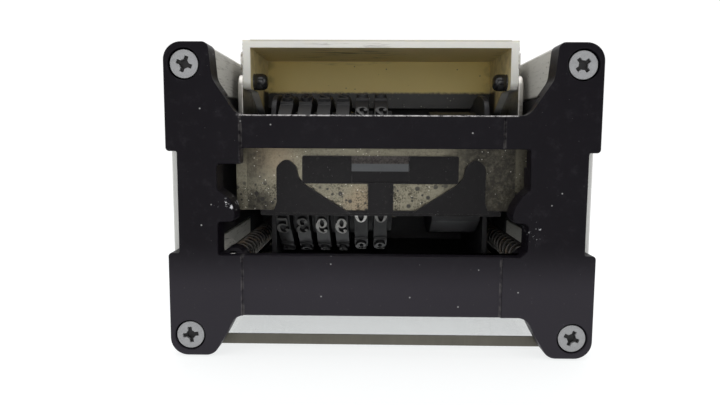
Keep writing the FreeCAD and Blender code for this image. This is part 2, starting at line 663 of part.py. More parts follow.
# ---------------------------------------------------------------- pad holder
PW, PF, PR = D["pad_half_w"], D["pad_front"], D["pad_rear"]
plate = Body("pad_plate")
plate.pad("XY", "Dims.plate_z", [[(-PW, PF, 0.3), (PW, PF, 0.3), (PW, PR, 1.2), (-PW, PR, 1.2)]], "Dims.plate_t")
plate.pad("XY", 7.75, [rect(-PW, PF, -PW + 1.9, PR, 0.5), rect(PW - 1.9, PF, PW, PR, 0.5)], 0.4)
arm = Body("pad_arm")
arm.pad("YZ", "Dims.arm_in", [[(AY - 4.6, 8.5), (AY + 4.6, 8.5), (AY + 4.6, 12.0, 2.0), (AY + 4.0, 24.0, 4.0), (AY + 4.6, AZ, 4.0), (AY + 3.2, AZ + 4.4, 3.0),
                               (AY - 3.2, AZ + 4.4, 3.0), (AY - 4.6, AZ, 4.0), (AY - 4.0, 24.0, 4.0), (AY - 4.6, 12.0, 2.0)]], "Dims.arm_t")
arm.cut("YZ", D["arm_in"] - 1.0, [("c", AY, AZ, D["axle_rad"])], 4.0)
arm_m = mirror("pad_arm_other", arm.o)
node(fuse("pad_bracket", [plate.o, arm.o, arm_m]))

# clip-on cassette: a tray behind the plate, pegs and a T-shaped lock in front of it
cas = Body("cassette_tray")
cas.pad("XY", 8.6, [rect(-21.2, -2.9, 21.2, 8.9, 0.8)], 2.9)
cas.cut("XY", 9.7, [rect(-20.2, -1.9, 20.2, 8.1, 0.5)], 5.0)
lip = Body("cassette_lip")
lip.pad("XY", 7.7, [[(-21.2, -2.9, 0.4), (21.2, -2.9, 0.4), (20.6, PF, 0.0), (-20.6, PF, 0.0)]], 1.2)
face = Body("cassette_face")
# peg and ramp, +X side, and its mirror; T bar and stem
peg = [(18.75, -2.5, 0.0), (18.1, -0.6, 0.3), (18.1, 5.6, 1.2), (16.4, 7.2, 1.4), (14.6, 5.6, 1.4), (14.3, 3.9, 0.6), (13.3, 2.6, 0.6), (5.3, -2.5, 0.0)]
face.pad("XY", 7.4, [peg, [(-x, y, r) for x, y, r in reversed(peg)]], 0.6)
tbar = Body("cassette_tbar")
tbar.pad("XY", 7.3, [[(-13.4, 2.7, 0.3), (-2.2, 2.7, 0.0), (-2.2, -2.5, 0.0), (2.2, -2.5, 0.0), (2.2, 2.7, 0.0), (13.6, 2.7, 0.3), (13.6, 7.5, 0.3), (-13.4, 7.5, 0.3)]], 0.7)
thumb = Body("cassette_thumb")
thumb.pad("YZ", -4.9, [[(2.9, 7.4), (3.0, 7.0, 0.2), (4.7, 6.9, 0.2), (6.3, 6.9, 0.4), (7.4, 7.35, 0.2), (7.4, 7.5)]], 9.9)
joint = box("cassette_joint", -18.4, 18.4, -2.5, PF, 7.5, 8.0)
node(fuse("pad_cassette", [cas.o, lip.o, face.o, tbar.o, thumb.o, joint]))
ip = Body("ink_pad")
ip.pad("XY", 9.7, [rect(-20.1, -1.8, 20.1, 8.0, 0.6)], 2.7)
node(ip.o)

# ---------------------------------------------------------------- number wheels
land = math.radians(7.9)


def wheel_loop(shift):
    pts = []
    for k in range(10):
        c = math.radians(36.0 * k + shift) - math.pi / 2.0
        for f in (-1.0, -0.5, 0.0, 0.5, 1.0):
            a = c + f * land
            pts.append((AY + D["wheel_rad"] * math.cos(a), AZ + D["wheel_rad"] * math.sin(a)))
        for f in (0.0, 0.5, 1.0):
            a = c + land * 1.06 + f * (math.radians(36.0) - 2.12 * land)
            pts.append((AY + D["wheel_rim_r"] * math.cos(a), AZ + D["wheel_rim_r"] * math.sin(a)))
    return pts


def ratchet_loop(shift):
    pts = []
    for k in range(10):
        c = math.radians(36.0 * k + shift) - math.pi / 2.0
        pts.append((AY + 12.8 * math.cos(c), AZ + 12.8 * math.sin(c)))
        pts.append((AY + 12.5 * math.cos(c + 0.30), AZ + 12.5 * math.sin(c + 0.30)))
        pts.append((AY + 11.3 * math.cos(c + 0.58), AZ + 11.3 * math.sin(c + 0.58)))
    return pts


for i, x in enumerate(wheel_x):
    wb = Body("number_wheel_%d" % (i + 1))
    shift = 0.0 if i < 4 else 10.5
    wb.pad("YZ", x - D["wheel_rim_w"] / 2.0, [wheel_loop(shift), ("c", AY, AZ, D["axle_bore_r"])], "Dims.wheel_rim_w")
    wb.pad("YZ", x - D["wheel_rim_w"] / 2.0 - D["ratchet_w"], [ratchet_loop(shift), ("c", AY, AZ, D["axle_bore_r"])], "Dims.ratchet_w")
    node(wb.o)

# drum that selects how often a number repeats
sel = Body("repeat_selector")
sel_pts = []
for k in range(16):
    a = math.radians(22.5 * k)
    sel_pts.append((AY + 12.6 * math.cos(a), AZ + 12.6 * math.sin(a), 1.0))
sel.pad("YZ", -19.6, [sel_pts, ("c", AY, AZ, D["axle_bore_r"])], 9.4)
sel.pad("YZ", -10.4, [("c", AY, AZ, 8.0), ("c", AY, AZ, D["axle_bore_r"])], 3.0)
node(sel.o)

# ---------------------------------------------------------------- check, then write
doc.recompute()
bad = []
for o in doc.Objects:
    st = [s for s in o.State if s in ("Invalid", "Error")]
    if st:
        bad.append((o.Name, st))
for o in NODES:
    sh = o.Shape
    if sh.isNull() or not sh.isValid() or len(sh.Solids) < 1:
        bad.append((o.Label, "null or not valid"))
labels = [o.Label for o in NODES]
if len(set(labels)) != len(labels):
    bad.append(("labels", "not unique"))
if bad:
    raise RuntimeError("not written: %s" % bad)
for o in NODES:
    o.Shape.exportStep("parts/%s.step" % o.Label)
    bb = o.Shape.BoundBox
    print("%-24s solids %2d  vol %9.1f  x %6.1f %6.1f  y %6.1f %6.1f  z %6.1f %6.1f" % (
        o.Label, len(o.Shape.Solids), o.Shape.Volume, bb.XMin, bb.XMax, bb.YMin, bb.YMax, bb.ZMin, bb.ZMax))
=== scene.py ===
import bpy
import bmesh
import math
import random
from mathutils import Matrix, Vector, noise


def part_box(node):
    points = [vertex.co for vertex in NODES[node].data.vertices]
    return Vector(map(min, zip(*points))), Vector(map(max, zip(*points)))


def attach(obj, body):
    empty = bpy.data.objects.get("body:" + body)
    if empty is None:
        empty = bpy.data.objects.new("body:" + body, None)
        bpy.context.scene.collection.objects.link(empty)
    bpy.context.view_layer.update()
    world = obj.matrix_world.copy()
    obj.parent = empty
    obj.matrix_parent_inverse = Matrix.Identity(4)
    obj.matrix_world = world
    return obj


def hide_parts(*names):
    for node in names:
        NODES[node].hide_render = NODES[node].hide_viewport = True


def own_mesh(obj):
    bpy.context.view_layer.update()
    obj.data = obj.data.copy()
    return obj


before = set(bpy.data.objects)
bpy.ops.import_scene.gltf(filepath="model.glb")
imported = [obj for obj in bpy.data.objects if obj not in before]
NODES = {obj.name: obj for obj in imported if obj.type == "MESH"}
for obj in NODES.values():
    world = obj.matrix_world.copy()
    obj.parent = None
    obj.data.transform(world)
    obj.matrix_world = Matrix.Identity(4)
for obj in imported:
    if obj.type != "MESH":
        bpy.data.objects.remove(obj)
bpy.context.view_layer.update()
MM = 0.001
AY, AZ = 3.5, 29.1            # the wheels' axle, in mm
FLOOR_Y = -25.66

# ------------------------------------------------------------------ node helpers


class Mat(object):
    """A node material on one Principled shader."""

    def __init__(self, name):
        self.m = bpy.data.materials.new(name)
        self.m.use_nodes = True
        self.t = self.m.node_tree
        self.b = self.t.nodes["Principled BSDF"]
        self.out = self.t.nodes["Material Output"]
        self._pos = None
        self._xyz = None

    def new(self, kind, **props):
        n = self.t.nodes.new(kind)
        for k, v in props.items():
            setattr(n, k, v)
        return n

    def put(self, sock, val):
        if isinstance(val, bpy.types.NodeSocket):
            self.t.links.new(val, sock)
        elif isinstance(val, (tuple, list)) and sock.type == "RGBA" and len(val) == 3:
            sock.default_value = (val[0], val[1], val[2], 1.0)
        else:
            sock.default_value = val

    def pos(self):
        """Place on the object, in mm."""
        if self._pos is None:
            g = self.new("ShaderNodeTexCoord")
            s = self.new("ShaderNodeVectorMath", operation="SCALE")
            self.put(s.inputs[0], g.outputs["Object"])
            s.inputs["Scale"].default_value = 1000.0
            self._pos = s.outputs[0]
        return self._pos

    def xyz(self):
        if self._xyz is None:
            s = self.new("ShaderNodeSeparateXYZ")
            self.put(s.inputs[0], self.pos())
            self._xyz = s.outputs
        return self._xyz

    def normal(self):
        g = self.new("ShaderNodeNewGeometry")
        s = self.new("ShaderNodeSeparateXYZ")
        self.put(s.inputs[0], g.outputs["Normal"])
        return s.outputs

    def math(self, op, a, b=0.0, c=None, clamp=False):
        n = self.new("ShaderNodeMath", operation=op, use_clamp=clamp)
        self.put(n.inputs[0], a)
        self.put(n.inputs[1], b)
        if c is not None:
            self.put(n.inputs[2], c)
        return n.outputs[0]

    def add(self, a, b, clamp=False):
        return self.math("ADD", a, b, clamp=clamp)

    def mul(self, a, b, clamp=False):
        return self.math("MULTIPLY", a, b, clamp=clamp)

    def sub(self, a, b, clamp=False):
        return self.math("SUBTRACT", a, b, clamp=clamp)

    def step(self, v, lo, hi, a=0.0, b=1.0):
        """Smooth ramp of v from lo..hi to a..b."""
        n = self.new("ShaderNodeMapRange", interpolation_type="SMOOTHSTEP")
        self.put(n.inputs["Value"], v)
        n.inputs["From Min"].default_value = lo
        n.inputs["From Max"].default_value = hi
        n.inputs["To Min"].default_value = a
        n.inputs["To Max"].default_value = b
        return n.outputs[0]

    def stretch(self, sx, sy, sz, rot=(0, 0, 0), off=(0, 0, 0)):
        n = self.new("ShaderNodeMapping")
        self.put(n.inputs["Vector"], self.pos())
        n.inputs["Scale"].default_value = (sx, sy, sz)
        n.inputs["Rotation"].default_value = rot
        n.inputs["Location"].default_value = off
        return n.outputs[0]

    def noise(self, scale, detail=3.0, rough=0.55, vec=None, dist=0.0):
        n = self.new("ShaderNodeTexNoise")
        self.put(n.inputs["Vector"], self.pos() if vec is None else vec)
        n.inputs["Scale"].default_value = scale
        n.inputs["Detail"].default_value = detail
        n.inputs["Roughness"].default_value = rough
        n.inputs["Distortion"].default_value = dist
        return n.outputs["Fac"]

    def cells(self, scale, vec=None, feature="F1", rnd=1.0):
        n = self.new("ShaderNodeTexVoronoi", feature=feature)
        self.put(n.inputs["Vector"], self.pos() if vec is None else vec)
        n.inputs["Scale"].default_value = scale
        n.inputs["Randomness"].default_value = rnd
        return n.outputs["Distance"]

    def specks(self, scale, size, density, vec=None):
        """Small round spots: 1 on a spot. density is the share of cells that hold one."""
        n = self.new("ShaderNodeTexVoronoi", feature="F1")
        self.put(n.inputs["Vector"], self.pos() if vec is None else vec)
        n.inputs["Scale"].default_value = scale
        pick = self.new("ShaderNodeSeparateColor")
        self.put(pick.inputs[0], n.outputs["Color"])
        near = self.step(n.outputs["Distance"], size * 0.6, size, 1.0, 0.0)
        some = self.math("LESS_THAN", pick.outputs[0], density)
        return self.mul(near, some)

    def mix(self, f, a, b):
        n = self.new("ShaderNodeMix", data_type="RGBA")
        self.put(n.inputs["Factor"], f)
        self.put(n.inputs["A"] if False else n.inputs[6], a)
        self.put(n.inputs[7], b)
        return n.outputs[2]

    def mixf(self, f, a, b):
        n = self.new("ShaderNodeMix", data_type="FLOAT")
        self.put(n.inputs[0], f)
        self.put(n.inputs[2], a)
        self.put(n.inputs[3], b)
        return n.outputs[0]

    def blob(self, x, y, z, r, soft=0.5, wob=0.0, wscale=0.6):
        """A patch round a place, with a wavering edge; z None means all heights."""
        o = self.xyz()
        d2 = self.add(self.math("POWER", self.sub(o[0], x), 2.0), self.math("POWER", self.sub(o[1], y), 2.0))
        if z is not None:
            d2 = self.add(d2, self.math("POWER", self.sub(o[2], z), 2.0))
        d = self.math("SQRT", d2)
        if wob:
            d = self.add(d, self.mul(self.sub(self.noise(wscale, 4.0, 0.65), 0.5), wob))
        return self.step(d, r * (1 - soft), r, 1.0, 0.0)

    def band(self, v, lo, hi, soft):
        """1 where lo < v < hi."""
        return self.mul(self.step(v, lo - soft, lo + soft), self.step(v, hi - soft, hi + soft, 1.0, 0.0))

    def edge(self, radius=0.25, lo=0.02, hi=0.18):
        """1 on corners and edges, from the difference between rounded and true normal."""
        bv = self.new("ShaderNodeBevel", samples=4)
        bv.inputs["Radius"].default_value = radius * MM
        g = self.new("ShaderNodeNewGeometry")
        d = self.new("ShaderNodeVectorMath", operation="DOT_PRODUCT")
        self.put(d.inputs[0], bv.outputs[0])
        self.put(d.inputs[1], g.outputs["Normal"])
        return self.step(d.outputs["Value"], 1.0 - hi, 1.0 - lo, 1.0, 0.0)

    def bump(self, height, strength=0.3, distance=0.05, normal=None):
        n = self.new("ShaderNodeBump")
        n.inputs["Strength"].default_value = strength
        n.inputs["Distance"].default_value = distance * MM
        self.put(n.inputs["Height"], height)
        if normal is not None:
            self.put(n.inputs["Normal"], normal)
        self.put(self.b.inputs["Normal"], n.outputs[0])
        return n.outputs[0]

    def set(self, **kw):
        for k, v in kw.items():
            self.put(self.b.inputs[k.replace("_", " ")], v)
        return self


# ------------------------------------------------------------------ materials


def black_enamel():
    """The foot frame: black, faintly violet, scuffed and dusty."""
    m = Mat("foot_black")
    o = m.xyz()
    cloud = m.noise(0.16, 5.0, 0.6)
    base = m.mix(cloud, (0.0026, 0.0017, 0.0036), (0.0052, 0.0040, 0.0066))
    # a dusty film that follows no edge, and bars that turn greyer towards -Y: a painted reflection of the floor
    film = m.mul(m.step(m.noise(0.45, 6.0, 0.7), 0.50, 0.78), 0.5)
    base = m.mix(film, base, (0.022, 0.020, 0.024))
    # painted reflection: the bars lighten towards the floor
    low = m.step(o[1], -6.0, -15.0, 0.0, 0.80)
    base = m.mix(low, base, (0.032, 0.029, 0.036))
    # hairline scratches, two directions
    s1 = m.noise(1.0, 2.0, 0.5, m.stretch(9.0, 0.32, 9.0, (0, 0, 0.10)))
    s2 = m.noise(1.0, 2.0, 0.5, m.stretch(0.30, 8.0, 8.0, (0, 0, -0.06), (7.0, 3.0, 0.0)))
    scr = m.add(m.step(s1, 0.745, 0.79), m.step(s2, 0.755, 0.80), clamp=True)
    scr = m.mul(scr, m.step(m.noise(0.10, 2.0), 0.46, 0.60))
    base = m.mix(m.mul(scr, 0.32), base, (0.16, 0.155, 0.16))
    # dust specks and the odd chip down to light metal
    sp = m.specks(1.7, 0.11, 0.10)
    sp2 = m.specks(0.62, 0.10, 0.14)
    base = m.mix(m.mul(sp, 0.33), base, (0.22, 0.21, 0.21))
    base = m.mix(m.mul(sp2, 0.65), base, (0.45, 0.45, 0.45))
    chips = m.mul(m.blob(24.9, -0.2, None, 2.0, 0.75, 1.5, 1.1), m.step(m.noise(0.9, 4.0, 0.6), 0.60, 0.64))
    chips = m.add(chips, m.mul(m.blob(-24.4, -4.6, None, 2.4, 0.6, 1.0), m.step(m.noise(1.9, 5.0, 0.7), 0.62, 0.66)), clamp=True)
    base = m.mix(chips, base, (0.62, 0.62, 0.64))
    # painted highlight: lighter lines along the seams where the bars meet the ears
    seam_highlight = m.mul(m.band(o[0], 22.45, 22.95, 0.10), m.step(m.noise(0.9, 4.0), 0.40, 0.62))
    seam_highlight = m.add(seam_highlight, m.mul(m.band(o[0], -19.75, -19.35, 0.10), m.step(m.noise(0.7, 4.0), 0.42, 0.62)), clamp=True)
    base = m.mix(m.mul(seam_highlight, 0.33), base, (0.16, 0.15, 0.145))
    e = m.edge(0.22, 0.03, 0.25)
    worn = m.mul(e, m.step(m.noise(0.55, 5.0, 0.7), 0.42, 0.66))
    base = m.mix(m.mul(worn, 0.45), base, (0.13, 0.125, 0.13))
    # painted highlight: a bright line along the rear bar's upper edge
    painted_edge_highlight = m.mul(m.band(o[1], 14.00, 14.34, 0.06), m.band(o[0], -21.5, 23.0, 0.4))
    painted_edge_highlight = m.mul(painted_edge_highlight, m.step(m.noise(1.6, 5.0, 0.8), 0.36, 0.60))
    painted_edge_highlight = m.mul(painted_edge_highlight, m.step(o[2], 0.9, 0.5))
    base = m.mix(m.mul(painted_edge_highlight, 0.85), base, (0.60, 0.58, 0.58))
    rough = m.add(m.add(0.33, m.mul(m.noise(0.8, 5.0, 0.7), 0.18)), m.mul(film, 0.35))
    m.set(Base_Color=base, Roughness=rough)
    m.b.inputs["Specular IOR Level"].default_value = 0.11
    h = m.add(m.mul(m.noise(5.5, 3.0, 0.6), 0.35), m.add(m.mul(m.noise(0.5, 3.0), 1.2), m.mul(scr, -0.5)))
    m.bump(m.add(h, m.mul(chips, -1.0)), 0.28, 0.045)
    return m.m


def zinc(name, tone=0.34, dirty=0.5):
    m = Mat(name)
    n = m.noise(1.3, 6.0, 0.7)
    grain = m.noise(9.0, 3.0, 0.7)
    base = m.mix(n, (tone * 0.78, tone * 0.79, tone * 0.82), (tone * 1.12, tone * 1.12, tone * 1.13))
    pit = m.mul(m.step(grain, 0.56, 0.70), 0.5 * dirty)
    base = m.mix(pit, base, (0.08, 0.078, 0.075))
    e = m.edge(0.12, 0.03, 0.25)
    base = m.mix(m.mul(e, 0.35), base, (0.62, 0.62, 0.63))
    # painted shade: the foot screws go near black deeper than 0.55 to 1 mm, in their recesses and counterbores
    deep = m.step(m.xyz()[2], 0.55, 1.0)
    if name == "foot_screw_zinc":
        base = m.mix(m.mul(deep, 0.93), base, (0.012, 0.011, 0.011))
    m.set(Base_Color=base, Metallic=0.55, Roughness=m.add(0.44, m.mul(n, 0.20)))
    m.bump(m.add(m.mul(grain, 0.7), n), 0.30, 0.03)
    return m.m


def enamel_cover():
    """Light grey side covers, with oily dirt inside and near the rear edges; the inner faces also carry painted shade.
    """
    m = Mat("cover_grey")
    o = m.xyz()
    n = m.noise(0.20, 5.0, 0.6)
    base = m.mix(n, (0.585, 0.585, 0.562), (0.665, 0.665, 0.640))
    inside = m.mul(m.step(m.math("ABSOLUTE", o[0]), 33.3, 32.7), m.step(o[1], -24.6, -24.0))
    # partly oily dirt, partly painted shade: the inner faces are darkened and warmed
    base = m.mix(m.mul(inside, 0.62), base, (0.46, 0.44, 0.385))
    # streaks run down the inner faces of the rear posts
    st = m.noise(1.0, 5.0, 0.65, m.stretch(0.5, 2.6, 0.22))
    streak = m.mul(m.mul(inside, m.step(st, 0.52, 0.68)), m.step(o[0], 5.0, 20.0, 0.45, 1.0))
    base = m.mix(m.mul(streak, 0.62), base, (0.085, 0.075, 0.055))
    dots = m.mul(inside, m.specks(0.75, 0.16, 0.22))
    base = m.mix(m.mul(dots, 0.75), base, (0.06, 0.05, 0.035))
    scuff = m.mul(m.step(m.noise(1.0, 4.0, 0.6, m.stretch(3.0, 0.5, 0.35)), 0.63, 0.72), m.sub(1.0, inside))
    base = m.mix(m.mul(scuff, 0.16), base, (0.20, 0.20, 0.19))
    grime = m.mul(m.edge(0.5, 0.03, 0.4), m.step(m.noise(0.5, 4.0), 0.45, 0.7))
    base = m.mix(m.mul(grime, 0.22), base, (0.30, 0.28, 0.24))
    m.set(Base_Color=base, Roughness=m.add(0.34, m.mul(m.noise(0.9, 5.0), 0.16)))
    m.bump(m.add(m.mul(m.noise(3.4, 2.0, 0.5), 0.8), m.mul(n, 0.4)), 0.16, 0.05)
    return m.m


def dark_steel(name, a=(0.010, 0.0095, 0.011), b=(0.028, 0.027, 0.029), metal=0.25, rough=0.42, wear=0.3):
    m = Mat(name)
    n = m.noise(0.7, 6.0, 0.65)
    base = m.mix(n, a, b)
    ink = m.step(m.noise(0.28, 3.0), 0.48, 0.62)
    base = m.mix(m.mul(ink, 0.5), base, (0.006, 0.006, 0.009))
    e = m.mul(m.edge(0.18, 0.03, 0.25), m.step(m.noise(1.4, 4.0, 0.7), 0.46, 0.66))
    base = m.mix(m.mul(e, wear), base, (0.24, 0.235, 0.23))
    sp = m.specks(1.6, 0.09, 0.10)
    base = m.mix(m.mul(sp, 0.28), base, (0.22, 0.21, 0.2))
    m.set(Base_Color=base, Metallic=metal, Roughness=m.add(rough, m.mul(n, 0.16)))
    m.bump(m.add(m.mul(m.noise(6.0, 3.0), 0.5), n), 0.2, 0.03)
    return m.m


def bright_steel(name, axis="z", tone=(0.56, 0.55, 0.52), stain=0.45, rough=0.24):
    """Drawn or ground steel, brushed along one axis, with brown stains."""
    m = Mat(name)
    s = {"x": (0.15, 9.0, 9.0), "y": (9.0, 0.15, 9.0), "z": (9.0, 9.0, 0.15)}[axis]
    lines = m.noise(1.0, 3.0, 0.6, m.stretch(*s))
    n = m.noise(0.33, 5.0, 0.65)
    base = m.mix(lines, tuple(c * 0.82 for c in tone), tuple(min(1, c * 1.12) for c in tone))
    base = m.mix(m.mul(m.step(n, 0.50, 0.70), stain), base, (0.17, 0.13, 0.085))
    pit = m.specks(1.25, 0.14, 0.2)
    base = m.mix(m.mul(pit, stain), base, (0.05, 0.042, 0.034))
    m.set(Base_Color=base, Metallic=1.0, Roughness=m.add(rough, m.add(m.mul(lines, 0.12), m.mul(n, 0.16))))
    m.bump(lines, 0.12, 0.02)
    return m.m


def worn_chrome():
    """The pad holder: chrome plate, speckled through, yellowed and dark where ink dried."""
    m = Mat("chrome_worn")
    o = m.xyz()
    big = m.noise(0.13, 4.0, 0.6)
    fine = m.noise(2.9, 6.0, 0.8)
    mid = m.noise(0.95, 6.0, 0.75)
    base = m.mix(big, (0.17, 0.158, 0.120), (0.27, 0.250, 0.185))
    warm = m.add(m.blob(19.0, 8.2, None, 6.5, 0.9, 2.5), m.blob(3.5, -0.5, None, 4.2, 0.8, 2.0), clamp=True)
    base = m.mix(m.mul(warm, 0.45), base, (0.30, 0.22, 0.14))
    # dried ink veil, darker towards the -X end and the lower corners
    veil = m.add(m.step(o[0], -9.0, -16.5, 0.0, 0.95), m.blob(21.5, -1.5, None, 4.4, 0.8, 2.4), clamp=True)
    veil = m.add(veil, m.mul(m.blob(23.0, 6.0, None, 5.2, 0.8, 2.2), 0.62), clamp=True)
    veil = m.mul(veil, m.step(mid, 0.30, 0.62, 0.5, 1.0))
    # painted highlight: the folded side flanges are kept mostly clear of the dark veil, so they read lighter
    flange_painted_highlight = m.step(m.math("ABSOLUTE", o[0]), 23.1, 23.35)
    veil = m.mul(veil, m.sub(1.0, m.mul(flange_painted_highlight, 0.82)))
    base = m.mix(m.mul(veil, 0.92), base, (0.022, 0.019, 0.018))
    # corrosion: dense pin-pricks with some larger bare spots
    pricks = m.step(fine, 0.49, 0.55)
    place = m.step(m.noise(0.26, 4.0, 0.7), 0.36, 0.60, 0.25, 1.0)
    low = m.step(o[1], 4.0, 1.2, 0.35, 1.0)
    pricks = m.mul(m.mul(pricks, place), low)
    spots = m.mul(m.add(m.specks(0.60, 0.30, 0.50), m.specks(1.2, 0.32, 0.45), clamp=True), low)
    base = m.mix(m.mul(pricks, 0.80), base, (0.055, 0.048, 0.036))
    base = m.mix(m.mul(spots, 0.92), base, (0.020, 0.018, 0.015))
    bits = m.specks(2.0, 0.20, 0.22)
    base = m.mix(m.mul(bits, 0.75), base, (0.85, 0.83, 0.74))
    rough = m.add(m.add(0.30, m.mul(mid, 0.22)), m.mul(m.add(pricks, veil, clamp=True), 0.28))
    m.set(Base_Color=base, Metallic=m.sub(0.92, m.mul(m.add(spots, m.mul(veil, 0.5), clamp=True), 0.7)), Roughness=rough)
    m.bump(m.add(m.mul(pricks, -0.8), m.add(m.mul(mid, 0.5), m.mul(spots, -1.0))), 0.35, 0.035)
    return m.m


def ink_black(name="cassette_ink_black", tone=1.0, crust=1.0):
    """Black moulding with dried ink, glinting crumbs and pale dust in the corners."""
    m = Mat(name)
    n = m.noise(0.5, 6.0, 0.7)
    base = m.mix(n, (0.0032 * tone, 0.0026 * tone, 0.0034 * tone), (0.0080 * tone, 0.0068 * tone, 0.0078 * tone))
    crumbs = m.mul(m.specks(2.4, 0.16, 0.16 * crust), m.step(m.noise(0.42, 4.0, 0.6), 0.44, 0.64))
    base = m.mix(m.mul(crumbs, 0.55), base, (0.34, 0.33, 0.34))
    dust = m.mul(m.step(m.noise(1.6, 6.0, 0.75), 0.56, 0.74), 0.30)
    base = m.mix(dust, base, (0.075, 0.068, 0.064))
    if name == "cassette_ink_black":
        o = m.xyz()
        mid = m.mul(m.band(o[0], -4.75, 5.05, 0.04), m.step(o[2], 8.6, 8.2))
        # painted sheen: the thumb block's front face is a lighter grey than the black moulding
        face = m.mul(mid, m.band(o[1], 4.88, 6.18, 0.05))
        base = m.mix(face, base, m.mix(n, (0.070, 0.074, 0.078), (0.100, 0.104, 0.108)))
        dusty = m.mul(mid, m.band(o[1], 6.18, 7.7, 0.08))
        base = m.mix(m.mul(dusty, m.step(m.noise(2.2, 5.0, 0.75), 0.38, 0.60, 0.35, 1.0)), base, (0.075, 0.066, 0.062))
    e = m.mul(m.edge(0.20, 0.03, 0.25), m.step(m.noise(1.2, 4.0, 0.7), 0.42, 0.60))
    base = m.mix(m.mul(e, 0.38), base, (0.20, 0.19, 0.185))
    lump = m.noise(1.35, 4.0, 0.6)
    m.set(Base_Color=base, Roughness=m.add(0.26, m.mul(m.noise(1.1, 5.0, 0.7), 0.34)))
    m.b.inputs["Specular IOR Level"].default_value = 0.16
    m.bump(m.add(m.mul(lump, 1.2), m.add(m.mul(crumbs, 0.8), m.mul(m.noise(6.0, 3.0), 0.35))), 0.38, 0.06)
    return m.m


def hood_plastic():
    """Cream moulding: pale outside and on its cut edges, stained deep yellow inside."""
    m = Mat("hood_cream")
    o = m.xyz()
    ax = m.math("ABSOLUTE", o[0])
    n = m.noise(0.16, 5.0, 0.6)
    pale = m.mix(n, (0.80, 0.79, 0.74), (0.85, 0.84, 0.79))
    deep = m.mix(m.noise(0.11, 4.0, 0.55), (0.68, 0.52, 0.125), (0.78, 0.60, 0.165))
    inner = m.mul(m.step(ax, 25.62, 25.44), m.step(o[1], 28.27, 28.1))
    inner = m.mul(inner, m.step(o[2], 23.15, 23.5))
    base = m.mix(m.mul(inner, 0.92), pale, deep)
    # smudges low on the rear wall; further down, painted shade in the inner corners
    sm = m.blob(6.0, 28.1, 33.0, 17.0, 0.85, 9.0, 0.22)
    sm2 = m.mul(m.step(m.noise(1.0, 5.0, 0.7, m.stretch(0.10, 1.0, 0.42)), 0.50, 0.66), m.step(o[1], 26.6, 27.9))
    sm2 = m.mul(sm2, m.step(o[1], 29.2, 28.9))
    base = m.mix(m.mul(m.mul(sm, sm2), 0.85), base, (0.085, 0.070, 0.038))
    # the outer rear face is a warmer, duller cream than the cut edges
    base = m.mix(m.mul(m.step(o[1], 29.2, 29.5), 0.75), base, m.mix(n, (0.50, 0.475, 0.39), (0.58, 0.555, 0.46)))
    # painted shade: the inside darkens towards the side walls
    corner_shade = m.mul(m.step(ax, 23.2, 25.3), m.step(m.noise(0.5, 4.0), 0.35, 0.65))
    base = m.mix(m.mul(m.mul(corner_shade, inner), 0.45), base, (0.16, 0.125, 0.06))
    dots = m.mul(m.specks(0.55, 0.11, 0.35), inner)
    base = m.mix(m.mul(dots, 0.7), base, (0.08, 0.065, 0.035))
    # ink and lint have settled along the front of the ceiling
    front = m.mul(m.step(m.add(o[1], m.mul(m.noise(0.9, 4.0, 0.7), 0.9)), 21.9, 21.2), m.step(o[2], 36.0, 39.0))
    base = m.mix(front, base, (0.012, 0.0105, 0.009))
    lint = m.mul(m.mul(front, m.specks(1.5, 0.26, 0.30)), m.step(m.noise(0.30, 4.0, 0.7), 0.42, 0.58))
    base = m.mix(m.mul(lint, 0.8), base, (0.30, 0.28, 0.22))
    rust = m.mul(m.mul(m.step(ax, 26.85, 26.95), m.step(m.noise(0.8, 5.0, 0.7), 0.46, 0.60)), m.step(o[2], 36.0, 26.0))
    base = m.mix(m.mul(rust, 0.8), base, (0.13, 0.085, 0.045))
    m.set(Base_Color=base, Roughness=m.add(0.36, m.mul(m.noise(0.8, 4.0), 0.18)))
    m.b.inputs["Subsurface Weight"].default_value = 0.12
    m.b.inputs["Subsurface Scale"].default_value = 0.0012
    m.b.inputs["Subsurface Radius"].default_value = (1.0, 0.8, 0.35)
    m.bump(m.add(m.mul(m.noise(2.6, 3.0), 0.5), n), 0.14, 0.06)
    return m.m


def clear_window():
    m = Mat("window_clear")
    haze = m.noise(0.7, 6.0, 0.7)
    scr = m.step(m.noise(1.0, 2.0, 0.5, m.stretch(0.35, 8.0, 7.0, (0, 0.3, 0))), 0.72, 0.78)
    m.set(Base_Color=m.mix(haze, (0.975, 0.99, 0.99), (0.99, 1.0, 1.0)),
          Roughness=m.add(0.04, m.add(m.mul(haze, 0.05), m.mul(scr, 0.2))))
    m.b.inputs["Transmission Weight"].default_value = 1.0
    m.b.inputs["IOR"].default_value = 1.30
    m.bump(m.add(haze, m.mul(scr, -1.0)), 0.06, 0.02)
    return m.m


def window_edge():
    """The window's sawn edge: light is lost in it, so it reads olive grey."""
    m = Mat("window_edge_olive")
    n = m.noise(0.35, 5.0, 0.6)
    saw = m.noise(1.0, 2.0, 0.5, m.stretch(4.0, 0.3, 4.0))
    base = m.mix(n, (0.065, 0.059, 0.044), (0.120, 0.109, 0.083))
    base = m.mix(m.mul(saw, 0.25), base, (0.20, 0.19, 0.15))
    m.set(Base_Color=base, Roughness=m.add(0.30, m.mul(saw, 0.2)))
    m.bump(saw, 0.15, 0.03)
    return m.m


